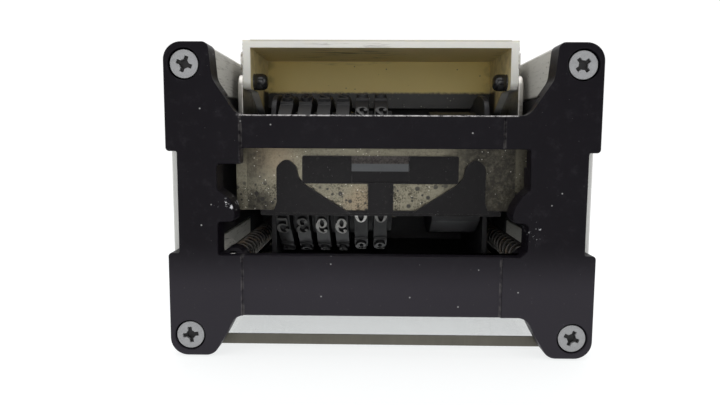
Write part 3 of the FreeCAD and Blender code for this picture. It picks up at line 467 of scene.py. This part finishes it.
def black_gloss(name="handle_black", tone=1.0):
    m = Mat(name)
    n = m.noise(0.12, 5.0, 0.6)
    base = m.mix(n, (0.012 * tone, 0.012 * tone, 0.013 * tone), (0.020 * tone, 0.019 * tone, 0.020 * tone))
    scr = m.step(m.noise(1.0, 2.0, 0.5, m.stretch(0.25, 5.0, 5.0, (0.2, 0.3, 0.5))), 0.71, 0.76)
    base = m.mix(m.mul(scr, 0.12), base, (0.12, 0.12, 0.12))
    base = m.mix(m.mul(m.specks(0.8, 0.07, 0.12), 0.3), base, (0.25, 0.25, 0.25))
    m.set(Base_Color=base, Roughness=m.add(0.19, m.add(m.mul(m.noise(0.6, 5.0, 0.7), 0.14), m.mul(scr, 0.1))))
    m.b.inputs["Coat Weight"].default_value = 0.15
    m.b.inputs["Coat Roughness"].default_value = 0.12
    m.bump(m.add(m.mul(m.noise(3.0, 3.0), 0.5), n), 0.10, 0.04)
    return m.m


def spring_wire():
    m = Mat("spring_wire")
    n = m.noise(1.2, 5.0, 0.6)
    base = m.mix(n, (0.055, 0.052, 0.050), (0.12, 0.115, 0.105))
    base = m.mix(m.mul(m.step(m.noise(0.5, 3.0), 0.5, 0.65), 0.5), base, (0.12, 0.075, 0.04))
    m.set(Base_Color=base, Metallic=0.95, Roughness=m.add(0.28, m.mul(n, 0.2)))
    m.bump(n, 0.1, 0.02)
    return m.m


def brass():
    m = Mat("pinion_brass")
    n = m.noise(0.9, 6.0, 0.7)
    base = m.mix(n, (0.44, 0.31, 0.12), (0.62, 0.46, 0.20))
    base = m.mix(m.mul(m.step(m.noise(0.4, 4.0), 0.45, 0.65), 0.6), base, (0.10, 0.075, 0.04))
    m.set(Base_Color=base, Metallic=1.0, Roughness=m.add(0.28, m.mul(n, 0.2)))
    m.bump(n, 0.12, 0.02)
    return m.m


def felt():
    """Ink pad: matted fibres, soaked."""
    m = Mat("ink_felt")
    f1 = m.noise(4.5, 6.0, 0.8, None, 1.2)
    f2 = m.noise(1.0, 3.0, 0.6, m.stretch(7.0, 2.0, 7.0, (0, 0, 0.6)), 0.8)
    base = m.mix(f1, (0.008, 0.008, 0.013), (0.034, 0.032, 0.046))
    wet = m.step(m.noise(0.16, 3.0), 0.42, 0.62)
    m.set(Base_Color=base, Roughness=m.mixf(wet, 0.86, 0.55))
    m.b.inputs["Sheen Weight"].default_value = 0.35
    m.b.inputs["Sheen Roughness"].default_value = 0.5
    m.bump(m.add(f1, f2), 0.7, 0.12)
    return m.m


def type_metal(name, bright):
    """Number wheels: inked dark, with the type faces worn to bare metal; painted light keeps the bare metal bright only
    on the row nearest the front.
    """
    m = Mat(name)
    o = m.xyz()
    r = m.math("SQRT", m.add(m.math("POWER", m.sub(o[1], AY), 2.0), m.math("POWER", m.sub(o[2], AZ), 2.0)))
    n = m.noise(0.9, 6.0, 0.7)
    dark = m.mix(n, (0.0045, 0.0042, 0.0052), (0.0125, 0.0118, 0.0130))
    worn_and_lit = m.mul(m.step(r, 16.10, 16.24), m.step(m.noise(1.7, 5.0, 0.75), 0.34, 0.52, 0.35, 1.0))
    bare = m.mix(m.noise(2.4, 4.0, 0.7), (0.30 * bright, 0.295 * bright, 0.285 * bright), (0.66 * bright, 0.65 * bright, 0.62 * bright))
    # painted light: only the row nearest the front shows bright type; elsewhere it is cut to 6%, painted shade
    lit_row = m.mul(m.step(o[1], 1.0, -1.0), m.step(o[2], 20.5, 18.5))
    worn_and_lit = m.mul(worn_and_lit, m.add(m.mul(lit_row, 0.94), 0.06))
    base = m.mix(worn_and_lit, dark, bare)
    land = m.mul(m.band(r, 15.62, 15.75, 0.05), m.step(m.noise(1.2, 5.0, 0.7), 0.50, 0.66))
    base = m.mix(m.mul(land, 0.30), base, (0.12, 0.115, 0.11))
    m.set(Base_Color=base, Metallic=m.mul(worn_and_lit, 0.35), Roughness=m.add(0.40, m.mul(n, 0.2)))
    m.bump(m.add(n, m.mul(m.noise(5.0, 3.0), 0.5)), 0.18, 0.03)
    return m.m


def lint_mat():
    m = Mat("lint_grey")
    n = m.noise(1.5, 4.0, 0.7)
    m.set(Base_Color=m.mix(n, (0.13, 0.115, 0.09), (0.36, 0.34, 0.29)), Roughness=m.add(0.8, m.mul(n, 0.15)))
    m.bump(n, 0.2, 0.02)
    return m.m


MAT = {
    "foot": black_enamel(),
    "screw": zinc("foot_screw_zinc", 0.36, 1.3),
    "zinc": zinc("rack_zinc", 0.34, 0.8),
    "cover": enamel_cover(),
    "dark": dark_steel("cage_black"),
    "dark2": dark_steel("inner_frame_black", (0.012, 0.011, 0.012), (0.034, 0.032, 0.033), 0.2, 0.5, 0.2),
    "rod": bright_steel("rod_steel", "z", (0.52, 0.51, 0.49), 0.25, 0.18),
    "shaft": bright_steel("shaft_steel", "x", (0.50, 0.49, 0.47), 0.4, 0.22),
    "side": bright_steel("side_plate_steel", "z", (0.62, 0.60, 0.56), 0.65, 0.22),
    "column": bright_steel("column_steel", "z", (0.60, 0.60, 0.59), 0.10, 0.14),
    "spring": spring_wire(),
    "window": clear_window(),
    "edge": window_edge(),
    "bridge": black_gloss("bridge_black", 1.1),
    "handle": black_gloss("handle_black", 1.0),
    "cap": ink_black("handle_cap_black", 1.5, 0.2),
    "block": ink_black("block_black", 1.0, 0.3),
    "hood": hood_plastic(),
    "pin": black_gloss("pin_black", 1.0),
    "brass": brass(),
    "chrome": worn_chrome(),
    "cassette": ink_black("cassette_ink_black", 1.0, 1.0),
    "felt": felt(),
    "button": bright_steel("button_steel", "x", (0.58, 0.58, 0.57), 0.1, 0.2),
    "comb": spring_wire(),
    "lint": lint_mat(),
}

# ------------------------------------------------------------------ mesh helpers


def link(ob):
    bpy.context.scene.collection.objects.link(ob)
    return ob


def make(name, bm, mats, body, replaces=(), smooth=35.0, weighted=True):
    bm.normal_update()
    me = bpy.data.meshes.new(name)
    lim = math.radians(smooth)
    for f in bm.faces:
        f.smooth = True
    for e in bm.edges:
        e.smooth = e.is_manifold and e.calc_face_angle(0.0) < lim
    bm.to_mesh(me)
    bm.free()
    ob = link(bpy.data.objects.new(name, me))
    for x in (mats if isinstance(mats, (list, tuple)) else [mats]):
        me.materials.append(x)
    if weighted:
        wn = ob.modifiers.new("weighted", "WEIGHTED_NORMAL")
        wn.keep_sharp = True
        wn.weight = 80
    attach(ob, body)
    if replaces:
        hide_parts(*replaces)
    return ob


def cad_bm(node):
    """The node's solid as clean polygons: welded, degenerate bits dissolved."""
    bm = bmesh.new()
    bm.from_mesh(NODES[node].data)
    bmesh.ops.remove_doubles(bm, verts=bm.verts, dist=2e-6)
    bmesh.ops.dissolve_degenerate(bm, dist=1e-6, edges=bm.edges)
    return bm


def ease(bm, width, seg=2, angle=28.0, flat=0.6, keep=None, clamp=False, long=0.0):
    """Joins coplanar faces, then rounds the sharp edges by width (mm)."""
    bmesh.ops.dissolve_limit(bm, angle_limit=math.radians(flat), verts=bm.verts, edges=bm.edges)
    lim = math.radians(angle)
    es = [e for e in bm.edges if e.is_manifold and e.calc_face_angle(0.0) > lim and (keep is None or keep(e)) and e.calc_length() > long * MM]
    if es:
        bmesh.ops.bevel(bm, geom=es, offset=width * MM, segments=seg, profile=0.5, affect="EDGES", clamp_overlap=clamp, miter_outer="SHARP" if clamp else "ARC")
    return bm


def refine(node, mats, body, width=0.2, seg=2, name=None, pick=None, keep=None, angle=28.0):
    lo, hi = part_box(node)
    tries = [(width, seg, False, 0.0), (width, seg, True, 0.0), (width * 0.7, seg, True, 0.5), (width * 0.5, seg, True, 1.2), (width * 0.35, 1, True, 2.5), (0.0, 0, True, 0.0)]
    for w, k, clamp, long in tries:
        bm = cad_bm(node)
        if w > 0:
            ease(bm, w, k, angle, keep=keep, clamp=clamp, long=long)
        tol = 0.02 * MM
        if all(lo[i] - tol <= v.co[i] <= hi[i] + tol for v in bm.verts for i in range(3)) and all(e.is_manifold for e in bm.edges):
            break
        print("REFINE", node, "width", w, clamp, long, "left the box or opened:", sum(not e.is_manifold for e in bm.edges))
        if w > 0:
            bm.free()
    if pick:
        for f in bm.faces:
            f.material_index = pick(f)
    return make(name or node + "_shape", bm, mats, body, [node])


def skin(node, mat):
    """A CAD node that keeps its own shape takes a finished material."""
    ob = NODES[node]
    ob.data.materials.clear()
    ob.data.materials.append(mat)
    return ob


def lathe(profile, axis_at, along, seg=48):
    """Turned solid. profile is (distance along, radius) in mm from axis_at; along is 'x' or 'z'."""
    bm = bmesh.new()
    rings = []
    for d, r in profile:
        ring = []
        if r <= 1e-6:
            p = (d, 0, 0) if along == "x" else (0, 0, d)
            ring = [bm.verts.new([(p[i] + axis_at[i]) * MM for i in range(3)])]
        else:
            for k in range(seg):
                a = 2 * math.pi * k / seg
                p = (d, r * math.cos(a), r * math.sin(a)) if along == "x" else (r * math.cos(a), r * math.sin(a), d)
                ring.append(bm.verts.new([(p[i] + axis_at[i]) * MM for i in range(3)]))
        rings.append(ring)
    for a, b in zip(rings, rings[1:]):
        n = max(len(a), len(b))
        for k in range(n):
            q = [a[k % len(a)], a[(k + 1) % len(a)], b[(k + 1) % len(b)], b[k % len(b)]]
            u = []
            for v in q:
                if v not in u:
                    u.append(v)
            if len(u) > 2:
                bm.faces.new(u)
    bmesh.ops.recalc_face_normals(bm, faces=bm.faces)
    return bm


# ------------------------------------------------------------------ foot, covers, inner frames

refine("base_frame", MAT["foot"], "frame", 0.24, 3)
refine("base_screws", MAT["screw"], "frame", 0.07, 2)
for side in ("right", "left"):
    refine("side_cover_" + side, MAT["cover"], "frame", 0.35, 3)
    refine("inner_frame_" + side, MAT["dark2"], "frame", 0.15, 2)
    skin("pad_rack_" + side, MAT["zinc"])
refine("cover_screws", MAT["zinc"], "frame", 0.12, 2)
refine("guide_rods", MAT["rod"], "frame", 0.2, 2)
springs = make("return_springs_shape", cad_bm("return_springs"), MAT["spring"], "frame", ["return_springs"], 40.0)
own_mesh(springs)


def edge_face(f):
    c = f.calc_center_median() / MM
    return 1 if (abs(f.normal.z) > 0.5 or abs(f.normal.x) > 0.5) and (c.z < 5.6 or c.z > 41.4 or abs(c.x) > 28.4) else 0


refine("front_window", [MAT["window"], MAT["edge"]], "frame", 0.18, 2, pick=edge_face)
refine("front_cover", MAT["cover"], "frame", 0.4, 3)
refine("top_bridge", MAT["bridge"], "frame", 0.3, 3, angle=40.0)
refine("lock_button", MAT["button"], "lock", 0.15, 2, angle=50.0)

# ------------------------------------------------------------------ head

refine("head_block", MAT["block"], "head", 0.3, 2)
refine("head_hood", MAT["hood"], "head", 0.28, 3)
for side in ("right", "left"):
    refine("head_side_plate_" + side, MAT["side"], "head", 0.16, 3)
refine("wheel_cage", MAT["dark"], "head", 0.15, 2)
refine("detent_comb", MAT["comb"], "head", 0.06, 1)
refine("pawl_pin", MAT["rod"], "head", 0.2, 2)
refine("feed_pawl", MAT["dark"], "pawl", 0.08, 1)
refine("plunger_column", MAT["column"], "head", 0.4, 3)
refine("handle", MAT["handle"], "head", 0.3, 3, angle=40.0)
refine("handle_cap", MAT["cap"], "head", 0.3, 3)


def hood_pin(s):
    """Stepped black pin: domed head inside the hood, ribbed shank through the walls."""
    prof = [(22.7, 0.0), (22.72, 0.55), (22.86, 1.05), (23.12, 1.42), (23.5, 1.62), (23.9, 1.68), (25.0, 1.69), (25.2, 1.60), (25.35, 1.60),
            (25.5, 1.69), (27.7, 1.69), (27.95, 1.60), (28.08, 1.35), (28.1, 0.0)]
    return lathe([(s * d, r) for d, r in prof], (0, 21.87, 27.0), "x", 40)


pins = hood_pin(1)
other = hood_pin(-1)
tmp = bpy.data.meshes.new("tmp")
other.to_mesh(tmp)
other.free()
pins.from_mesh(tmp)
make("hood_pins_shape", pins, MAT["pin"], "head", ["hood_pins"], 40.0)

# ------------------------------------------------------------------ pad holder

refine("drive_shaft", MAT["shaft"], "pad", 0.3, 2)
refine("shaft_clips", MAT["zinc"], "pad", 0.08, 1)
for side in ("right", "left"):
    skin("pad_pinion_" + side, MAT["brass"])
skin("feed_cam", MAT["dark"])
refine("pad_bracket", MAT["chrome"], "pad", 0.12, 2)


refine("pad_cassette", MAT["cassette"], "pad", 0.16, 2)
refine("ink_pad", MAT["felt"], "pad", 0.5, 3)
refine("repeat_selector", MAT["dark"], "selector", 0.2, 2)

# ------------------------------------------------------------------ number wheels
# Digit strokes in digit heights: (x, y, width) along each stroke; "o" rings, "b" balls.

DIGITS = {
    0: [("o", 0.0, 0.0, 0.26, 0.46, 0.145, 0.055)],
    1: [("s", [(0.02, 0.49, 0.15), (0.02, 0.0, 0.15), (0.02, -0.47, 0.15)]), ("s", [(-0.17, 0.33, 0.05), (-0.07, 0.40, 0.08), (0.0, 0.46, 0.06)]),
        ("s", [(-0.19, -0.465, 0.06), (0.23, -0.465, 0.06)])],
    2: [("s", [(-0.225, 0.26, 0.07), (-0.20, 0.38, 0.06), (-0.02, 0.465, 0.06), (0.17, 0.37, 0.12), (0.19, 0.20, 0.14), (0.06, -0.02, 0.10), (-0.13, -0.22, 0.07), (-0.25, -0.42, 0.06)]),
        ("b", -0.175, 0.26, 0.085), ("s", [(-0.26, -0.41, 0.12), (0.0, -0.42, 0.13), (0.26, -0.41, 0.13)]), ("s", [(0.265, -0.42, 0.05), (0.28, -0.25, 0.05)])],
    3: [("s", [(-0.22, 0.29, 0.06), (-0.15, 0.42, 0.06), (0.0, 0.465, 0.06), (0.16, 0.36, 0.12), (0.16, 0.18, 0.12), (0.06, 0.05, 0.06), (-0.06, 0.03, 0.06)]),
        ("s", [(-0.06, 0.03, 0.06), (0.10, 0.0, 0.07), (0.21, -0.16, 0.14), (0.18, -0.36, 0.13), (0.0, -0.465, 0.06), (-0.17, -0.41, 0.06), (-0.24, -0.28, 0.06)]),
        ("b", -0.165, 0.28, 0.08), ("b", -0.175, -0.27, 0.085)],
    4: [("s", [(0.10, 0.49, 0.07), (-0.10, 0.15, 0.07), (-0.28, -0.16, 0.07)]), ("s", [(-0.30, -0.18, 0.075), (0.30, -0.18, 0.075)]),
        ("s", [(0.11, 0.49, 0.14), (0.11, -0.46, 0.14)]), ("s", [(-0.05, -0.465, 0.055), (0.27, -0.465, 0.055)])],
    5: [("s", [(-0.20, 0.43, 0.12), (0.22, 0.43, 0.12)]), ("s", [(-0.20, 0.45, 0.055), (-0.21, 0.02, 0.055)]),
        ("s", [(-0.21, 0.02, 0.05), (-0.02, 0.12, 0.06), (0.16, 0.04, 0.12), (0.22, -0.15, 0.14), (0.16, -0.37, 0.12), (-0.01, -0.465, 0.06), (-0.17, -0.41, 0.06), (-0.24, -0.28, 0.06)]),
        ("b", -0.175, -0.27, 0.085)],
    6: [("o", 0.01, -0.19, 0.205, 0.275, 0.13, 0.055),
        ("s", [(-0.19, -0.20, 0.14), (-0.22, 0.05, 0.14), (-0.15, 0.32, 0.10), (0.02, 0.465, 0.06), (0.16, 0.42, 0.06), (0.22, 0.31, 0.06)]), ("b", 0.17, 0.30, 0.08)],
    7: [("s", [(-0.25, 0.42, 0.13), (0.27, 0.42, 0.13)]), ("s", [(-0.255, 0.46, 0.05), (-0.255, 0.24, 0.05)]),
        ("s", [(0.25, 0.38, 0.06), (0.10, 0.12, 0.09), (0.0, -0.15, 0.14), (-0.03, -0.48, 0.17)])],
    8: [("o", 0.0, 0.225, 0.17, 0.235, 0.115, 0.055), ("o", 0.0, -0.215, 0.215, 0.245, 0.135, 0.055)],
    9: [("o", -0.01, 0.19, 0.205, 0.275, 0.13, 0.055),
        ("s", [(0.19, 0.20, 0.14), (0.22, -0.05, 0.14), (0.15, -0.32, 0.10), (-0.02, -0.465, 0.06), (-0.16, -0.42, 0.06), (-0.22, -0.31, 0.06)]), ("b", -0.17, -0.30, 0.08)],
}
DIGIT_H = 3.95
R_FACE, R_LAND = 16.28, 15.66


def smooth_path(pts, per=5):
    """Catmull-Rom through (x, y, w)."""
    if len(pts) < 3:
        return pts
    out = []
    n = len(pts)
    for i in range(n - 1):
        p0, p1, p2, p3 = pts[max(i - 1, 0)], pts[i], pts[i + 1], pts[min(i + 2, n - 1)]
        for k in range(per):
            t = k / per
            out.append(tuple(0.5 * ((2 * b) + (-a + c) * t + (2 * a - 5 * b + 4 * c - d) * t * t + (-a + 3 * b - 3 * c + d) * t ** 3)
                             for a, b, c, d in zip(p0, p1, p2, p3)))
    out.append(pts[-1])
    return out


def on_wheel(x0, phi0, s, t, r):
    """s along the axle, t up the digit (mm), r from the axle; phi0 is measured from straight down towards the front."""
    phi = phi0 - t / R_FACE
    return Vector((x0 + s, AY - r * math.sin(phi), AZ - r * math.cos(phi))) * MM


def raise_strip(bm, x0, phi0, left, right, top, closed):
    """A raised stroke between two rows of points, with drafted sides."""
    n = len(left)
    rows = []
    for i in range(n):
        lx, ly = left[i]
        rx, ry = right[i]
        dx, dy = lx - rx, ly - ry
        ln = math.hypot(dx, dy) or 1.0
        ux, uy = dx / ln * 0.07, dy / ln * 0.07
        low = R_LAND - 0.12
        rows.append([bm.verts.new(on_wheel(x0, phi0, lx, ly, top)), bm.verts.new(on_wheel(x0, phi0, rx, ry, top)),
                     bm.verts.new(on_wheel(x0, phi0, rx - ux, ry - uy, low)), bm.verts.new(on_wheel(x0, phi0, lx + ux, ly + uy, low))])
    m = n if closed else n - 1
    for i in range(m):
        a, b = rows[i], rows[(i + 1) % n]
        for k in range(4):
            bm.faces.new((a[k], a[(k + 1) % 4], b[(k + 1) % 4], b[k]))
    if not closed:
        bm.faces.new(rows[0][::-1])
        bm.faces.new(rows[-1])


def raise_ball(bm, x0, phi0, cx, cy, rad, top, seg=14):
    up = [bm.verts.new(on_wheel(x0, phi0, cx + rad * math.cos(a), cy + rad * math.sin(a), top)) for a in [2 * math.pi * k / seg for k in range(seg)]]
    dn = [bm.verts.new(on_wheel(x0, phi0, cx + (rad + 0.07) * math.cos(a), cy + (rad + 0.07) * math.sin(a), R_LAND - 0.12)) for a in [2 * math.pi * k / seg for k in range(seg)]]
    bm.faces.new(up)
    bm.faces.new(dn[::-1])
    for k in range(seg):
        bm.faces.new((up[k], dn[k], dn[(k + 1) % seg], up[(k + 1) % seg]))


def add_digit(bm, x0, phi0, d):
    for i, st in enumerate(DIGITS[d]):
        top = R_FACE - 0.012 * i
        if st[0] == "o":
            _, cx, cy, rx, ry, ws, wt = st
            left, right = [], []
            for k in range(30):
                a = 2 * math.pi * k / 30
                w = wt + (ws - wt) * abs(math.cos(a)) ** 1.5
                nx, ny = math.cos(a) / rx, math.sin(a) / ry
                ln = math.hypot(nx, ny)
                px, py = cx + (rx - ws * 0.25) * math.cos(a), cy + (ry - wt * 0.25) * math.sin(a)
                ox, oy = nx / ln * w / 2, ny / ln * w / 2
                left.append(((px + ox) * DIGIT_H, (py + oy) * DIGIT_H))
                right.append(((px - ox) * DIGIT_H, (py - oy) * DIGIT_H))
            raise_strip(bm, x0, phi0, left, right, top, True)
        elif st[0] == "b":
            raise_ball(bm, x0, phi0, st[1] * DIGIT_H, st[2] * DIGIT_H, st[3] * DIGIT_H, top)
        else:
            p = smooth_path(st[1])
            left, right = [], []
            for k in range(len(p)):
                a, b = p[max(k - 1, 0)], p[min(k + 1, len(p) - 1)]
                dx, dy = b[0] - a[0], b[1] - a[1]
                ln = math.hypot(dx, dy) or 1.0
                w = p[k][2] / 2
                left.append(((p[k][0] - dy / ln * w) * DIGIT_H, (p[k][1] + dx / ln * w) * DIGIT_H))
                right.append(((p[k][0] + dy / ln * w) * DIGIT_H, (p[k][1] - dx / ln * w) * DIGIT_H))
            raise_strip(bm, x0, phi0, left, right, top, False)


SHOWN = [5, 3, 9, 9, 0, 0]         # read on the row nearest the front
BRIGHT = [0.17, 0.20, 0.80, 0.84, 1.45, 0.60]
for i in range(6):
    node = "number_wheel_%d" % (i + 1)
    shift = 0.0 if i < 4 else 10.5
    bm = cad_bm(node)
    for v in bm.verts:
        y, z = v.co.y / MM - AY, v.co.z / MM - AZ
        r = math.hypot(y, z)
        if r > 15.7:
            v.co.y, v.co.z = (AY + y * R_LAND / r) * MM, (AZ + z * R_LAND / r) * MM
    ease(bm, 0.12, 2, 32.0, 1.0)
    x0 = 18.3 - 3.7 * i
    digits = bmesh.new()
    for k in range(10):
        add_digit(digits, x0, math.radians(36.0 * k - shift), (SHOWN[i] + 1 - k) % 10)
    bmesh.ops.recalc_face_normals(digits, faces=digits.faces)
    t = bpy.data.meshes.new("t")
    digits.to_mesh(t)
    digits.free()
    bm.from_mesh(t)
    make(node + "_type", bm, type_metal("type_metal_%d" % (i + 1), BRIGHT[i]), "wheel_%d" % (i + 1), [node], 30.0)

# ------------------------------------------------------------------ stage, light, camera


def floor():
    me = bpy.data.meshes.new("floor")
    s, far = 6.0, 0.37
    me.from_pydata([(-s, FLOOR_Y * MM, -s), (s, FLOOR_Y * MM, -s), (s, FLOOR_Y * MM, far), (-s, FLOOR_Y * MM, far)], [], [(0, 1, 2, 3)])
    ob = link(bpy.data.objects.new("floor", me))
    m = bpy.data.materials.new("floor_pale")
    m.use_nodes = True
    t = m.node_tree
    b = t.nodes["Principled BSDF"]
    nz = t.nodes.new("ShaderNodeTexNoise")
    nz.inputs["Scale"].default_value = 3.0
    mx = t.nodes.new("ShaderNodeMix")
    mx.data_type = "RGBA"
    mx.inputs[6].default_value = (0.22, 0.22, 0.222, 1)
    mx.inputs[7].default_value = (0.24, 0.24, 0.24, 1)
    t.links.new(nz.outputs["Fac"], mx.inputs[0])
    t.links.new(mx.outputs[2], b.inputs["Base Color"])
    b.inputs["Roughness"].default_value = 0.6
    # a light table: the sheet glows a little from below
    b.inputs["Emission Color"].default_value = (0.985, 1.0, 1.0, 1)
    b.inputs["Emission Strength"].default_value = 0.80
    b.inputs["Specular IOR Level"].default_value = 0.25
    g = t.nodes.new("ShaderNodeNewGeometry")
    tr = t.nodes.new("ShaderNodeBsdfTransparent")
    ms = t.nodes.new("ShaderNodeMixShader")
    t.links.new(g.outputs["Backfacing"], ms.inputs[0])
    t.links.new(b.outputs[0], ms.inputs[1])
    t.links.new(tr.outputs[0], ms.inputs[2])
    t.links.new(ms.outputs[0], t.nodes["Material Output"].inputs[0])
    me.materials.append(m)
    # the pale side faces the object
    if me.polygons[0].normal.y < 0:
        bm = bmesh.new()
        bm.from_mesh(me)
        bmesh.ops.reverse_faces(bm, faces=bm.faces)
        bm.to_mesh(me)
        bm.free()


floor()

world = bpy.data.worlds.new("studio")
bpy.context.scene.world = world
world.use_nodes = True
wt = world.node_tree
bg = wt.nodes["Background"]
tc = wt.nodes.new("ShaderNodeTexCoord")
sx = wt.nodes.new("ShaderNodeSeparateXYZ")
wt.links.new(tc.outputs["Generated"], sx.inputs[0])
mr = wt.nodes.new("ShaderNodeMapRange")
mr.interpolation_type = "SMOOTHSTEP"
mr.inputs["From Min"].default_value = -0.75
mr.inputs["From Max"].default_value = 0.35
mr.inputs["To Min"].default_value = 0.12
mr.inputs["To Max"].default_value = 1.04
wt.links.new(sx.outputs[2], mr.inputs["Value"])
wt.links.new(mr.outputs[0], bg.inputs["Strength"])
bg.inputs["Color"].default_value = (1.0, 1.0, 1.0, 1)


def area(name, at, to, size, power, color=(1, 1, 1), sy=None):
    l = bpy.data.lights.new(name, "AREA")
    l.energy = power
    l.size = size
    l.color = color
    if sy:
        l.shape = "RECTANGLE"
        l.size_y = sy
    ob = link(bpy.data.objects.new(name, l))
    ob.location = at
    ob.rotation_mode = "QUATERNION"
    ob.rotation_quaternion = (Vector(to) - Vector(at)).to_track_quat("-Z", "Y")
    return ob


area("key_above", (0.05, 0.55, -0.20), (0, 0, 0.02), 0.55, 1.3)
area("key_back", (0.0, 0.60, 0.22), (0, 0, 0.02), 0.55, 0.7)
area("front_soft", (0.0, 0.06, -0.70), (0, 0, 0.02), 0.45, 1.0)
area("fill_left", (0.45, 0.22, -0.35), (0, 0, 0.02), 0.35, 0.5)
area("fill_right", (-0.45, 0.18, -0.30), (0, 0, 0.02), 0.35, 0.45)

snoot = bpy.data.lights.new("snoot_on_type", "SPOT")
snoot.energy = 0.40
snoot.spot_size = math.radians(4.6)
snoot.spot_blend = 0.9
snoot.shadow_soft_size = 0.012
so = link(bpy.data.objects.new("snoot_on_type", snoot))
so.location = (0.006, 0.012, -0.30)
so.rotation_mode = "QUATERNION"
so.rotation_quaternion = (Vector((0.008, -0.005, 0.014)) - Vector(so.location)).to_track_quat("-Z", "Y")

cam = bpy.data.cameras.new("camera")
cam.sensor_width = 36.0
cam.lens = 29.5
cam.clip_start = 0.004
cam.clip_end = 60.0
co = link(bpy.data.objects.new("camera", cam))
right = Vector((-0.99983, 0.00516, 0.01743))
up = Vector((0.00695, 0.99452, 0.10429))
fwd = Vector((0.01680, -0.10440, 0.99439)).normalized()
up = (up - fwd * up.dot(fwd)).normalized()
right = fwd.cross(up)
co.matrix_world = Matrix(((right.x, up.x, -fwd.x, 0.00185), (right.y, up.y, -fwd.y, 0.01014), (right.z, up.z, -fwd.z, -0.09451), (0, 0, 0, 1)))
bpy.context.scene.camera = co

vs = bpy.context.scene.view_settings
vs.view_transform = "Standard"
vs.look = "None"
vs.exposure = 0.0
vs.gamma = 1.0
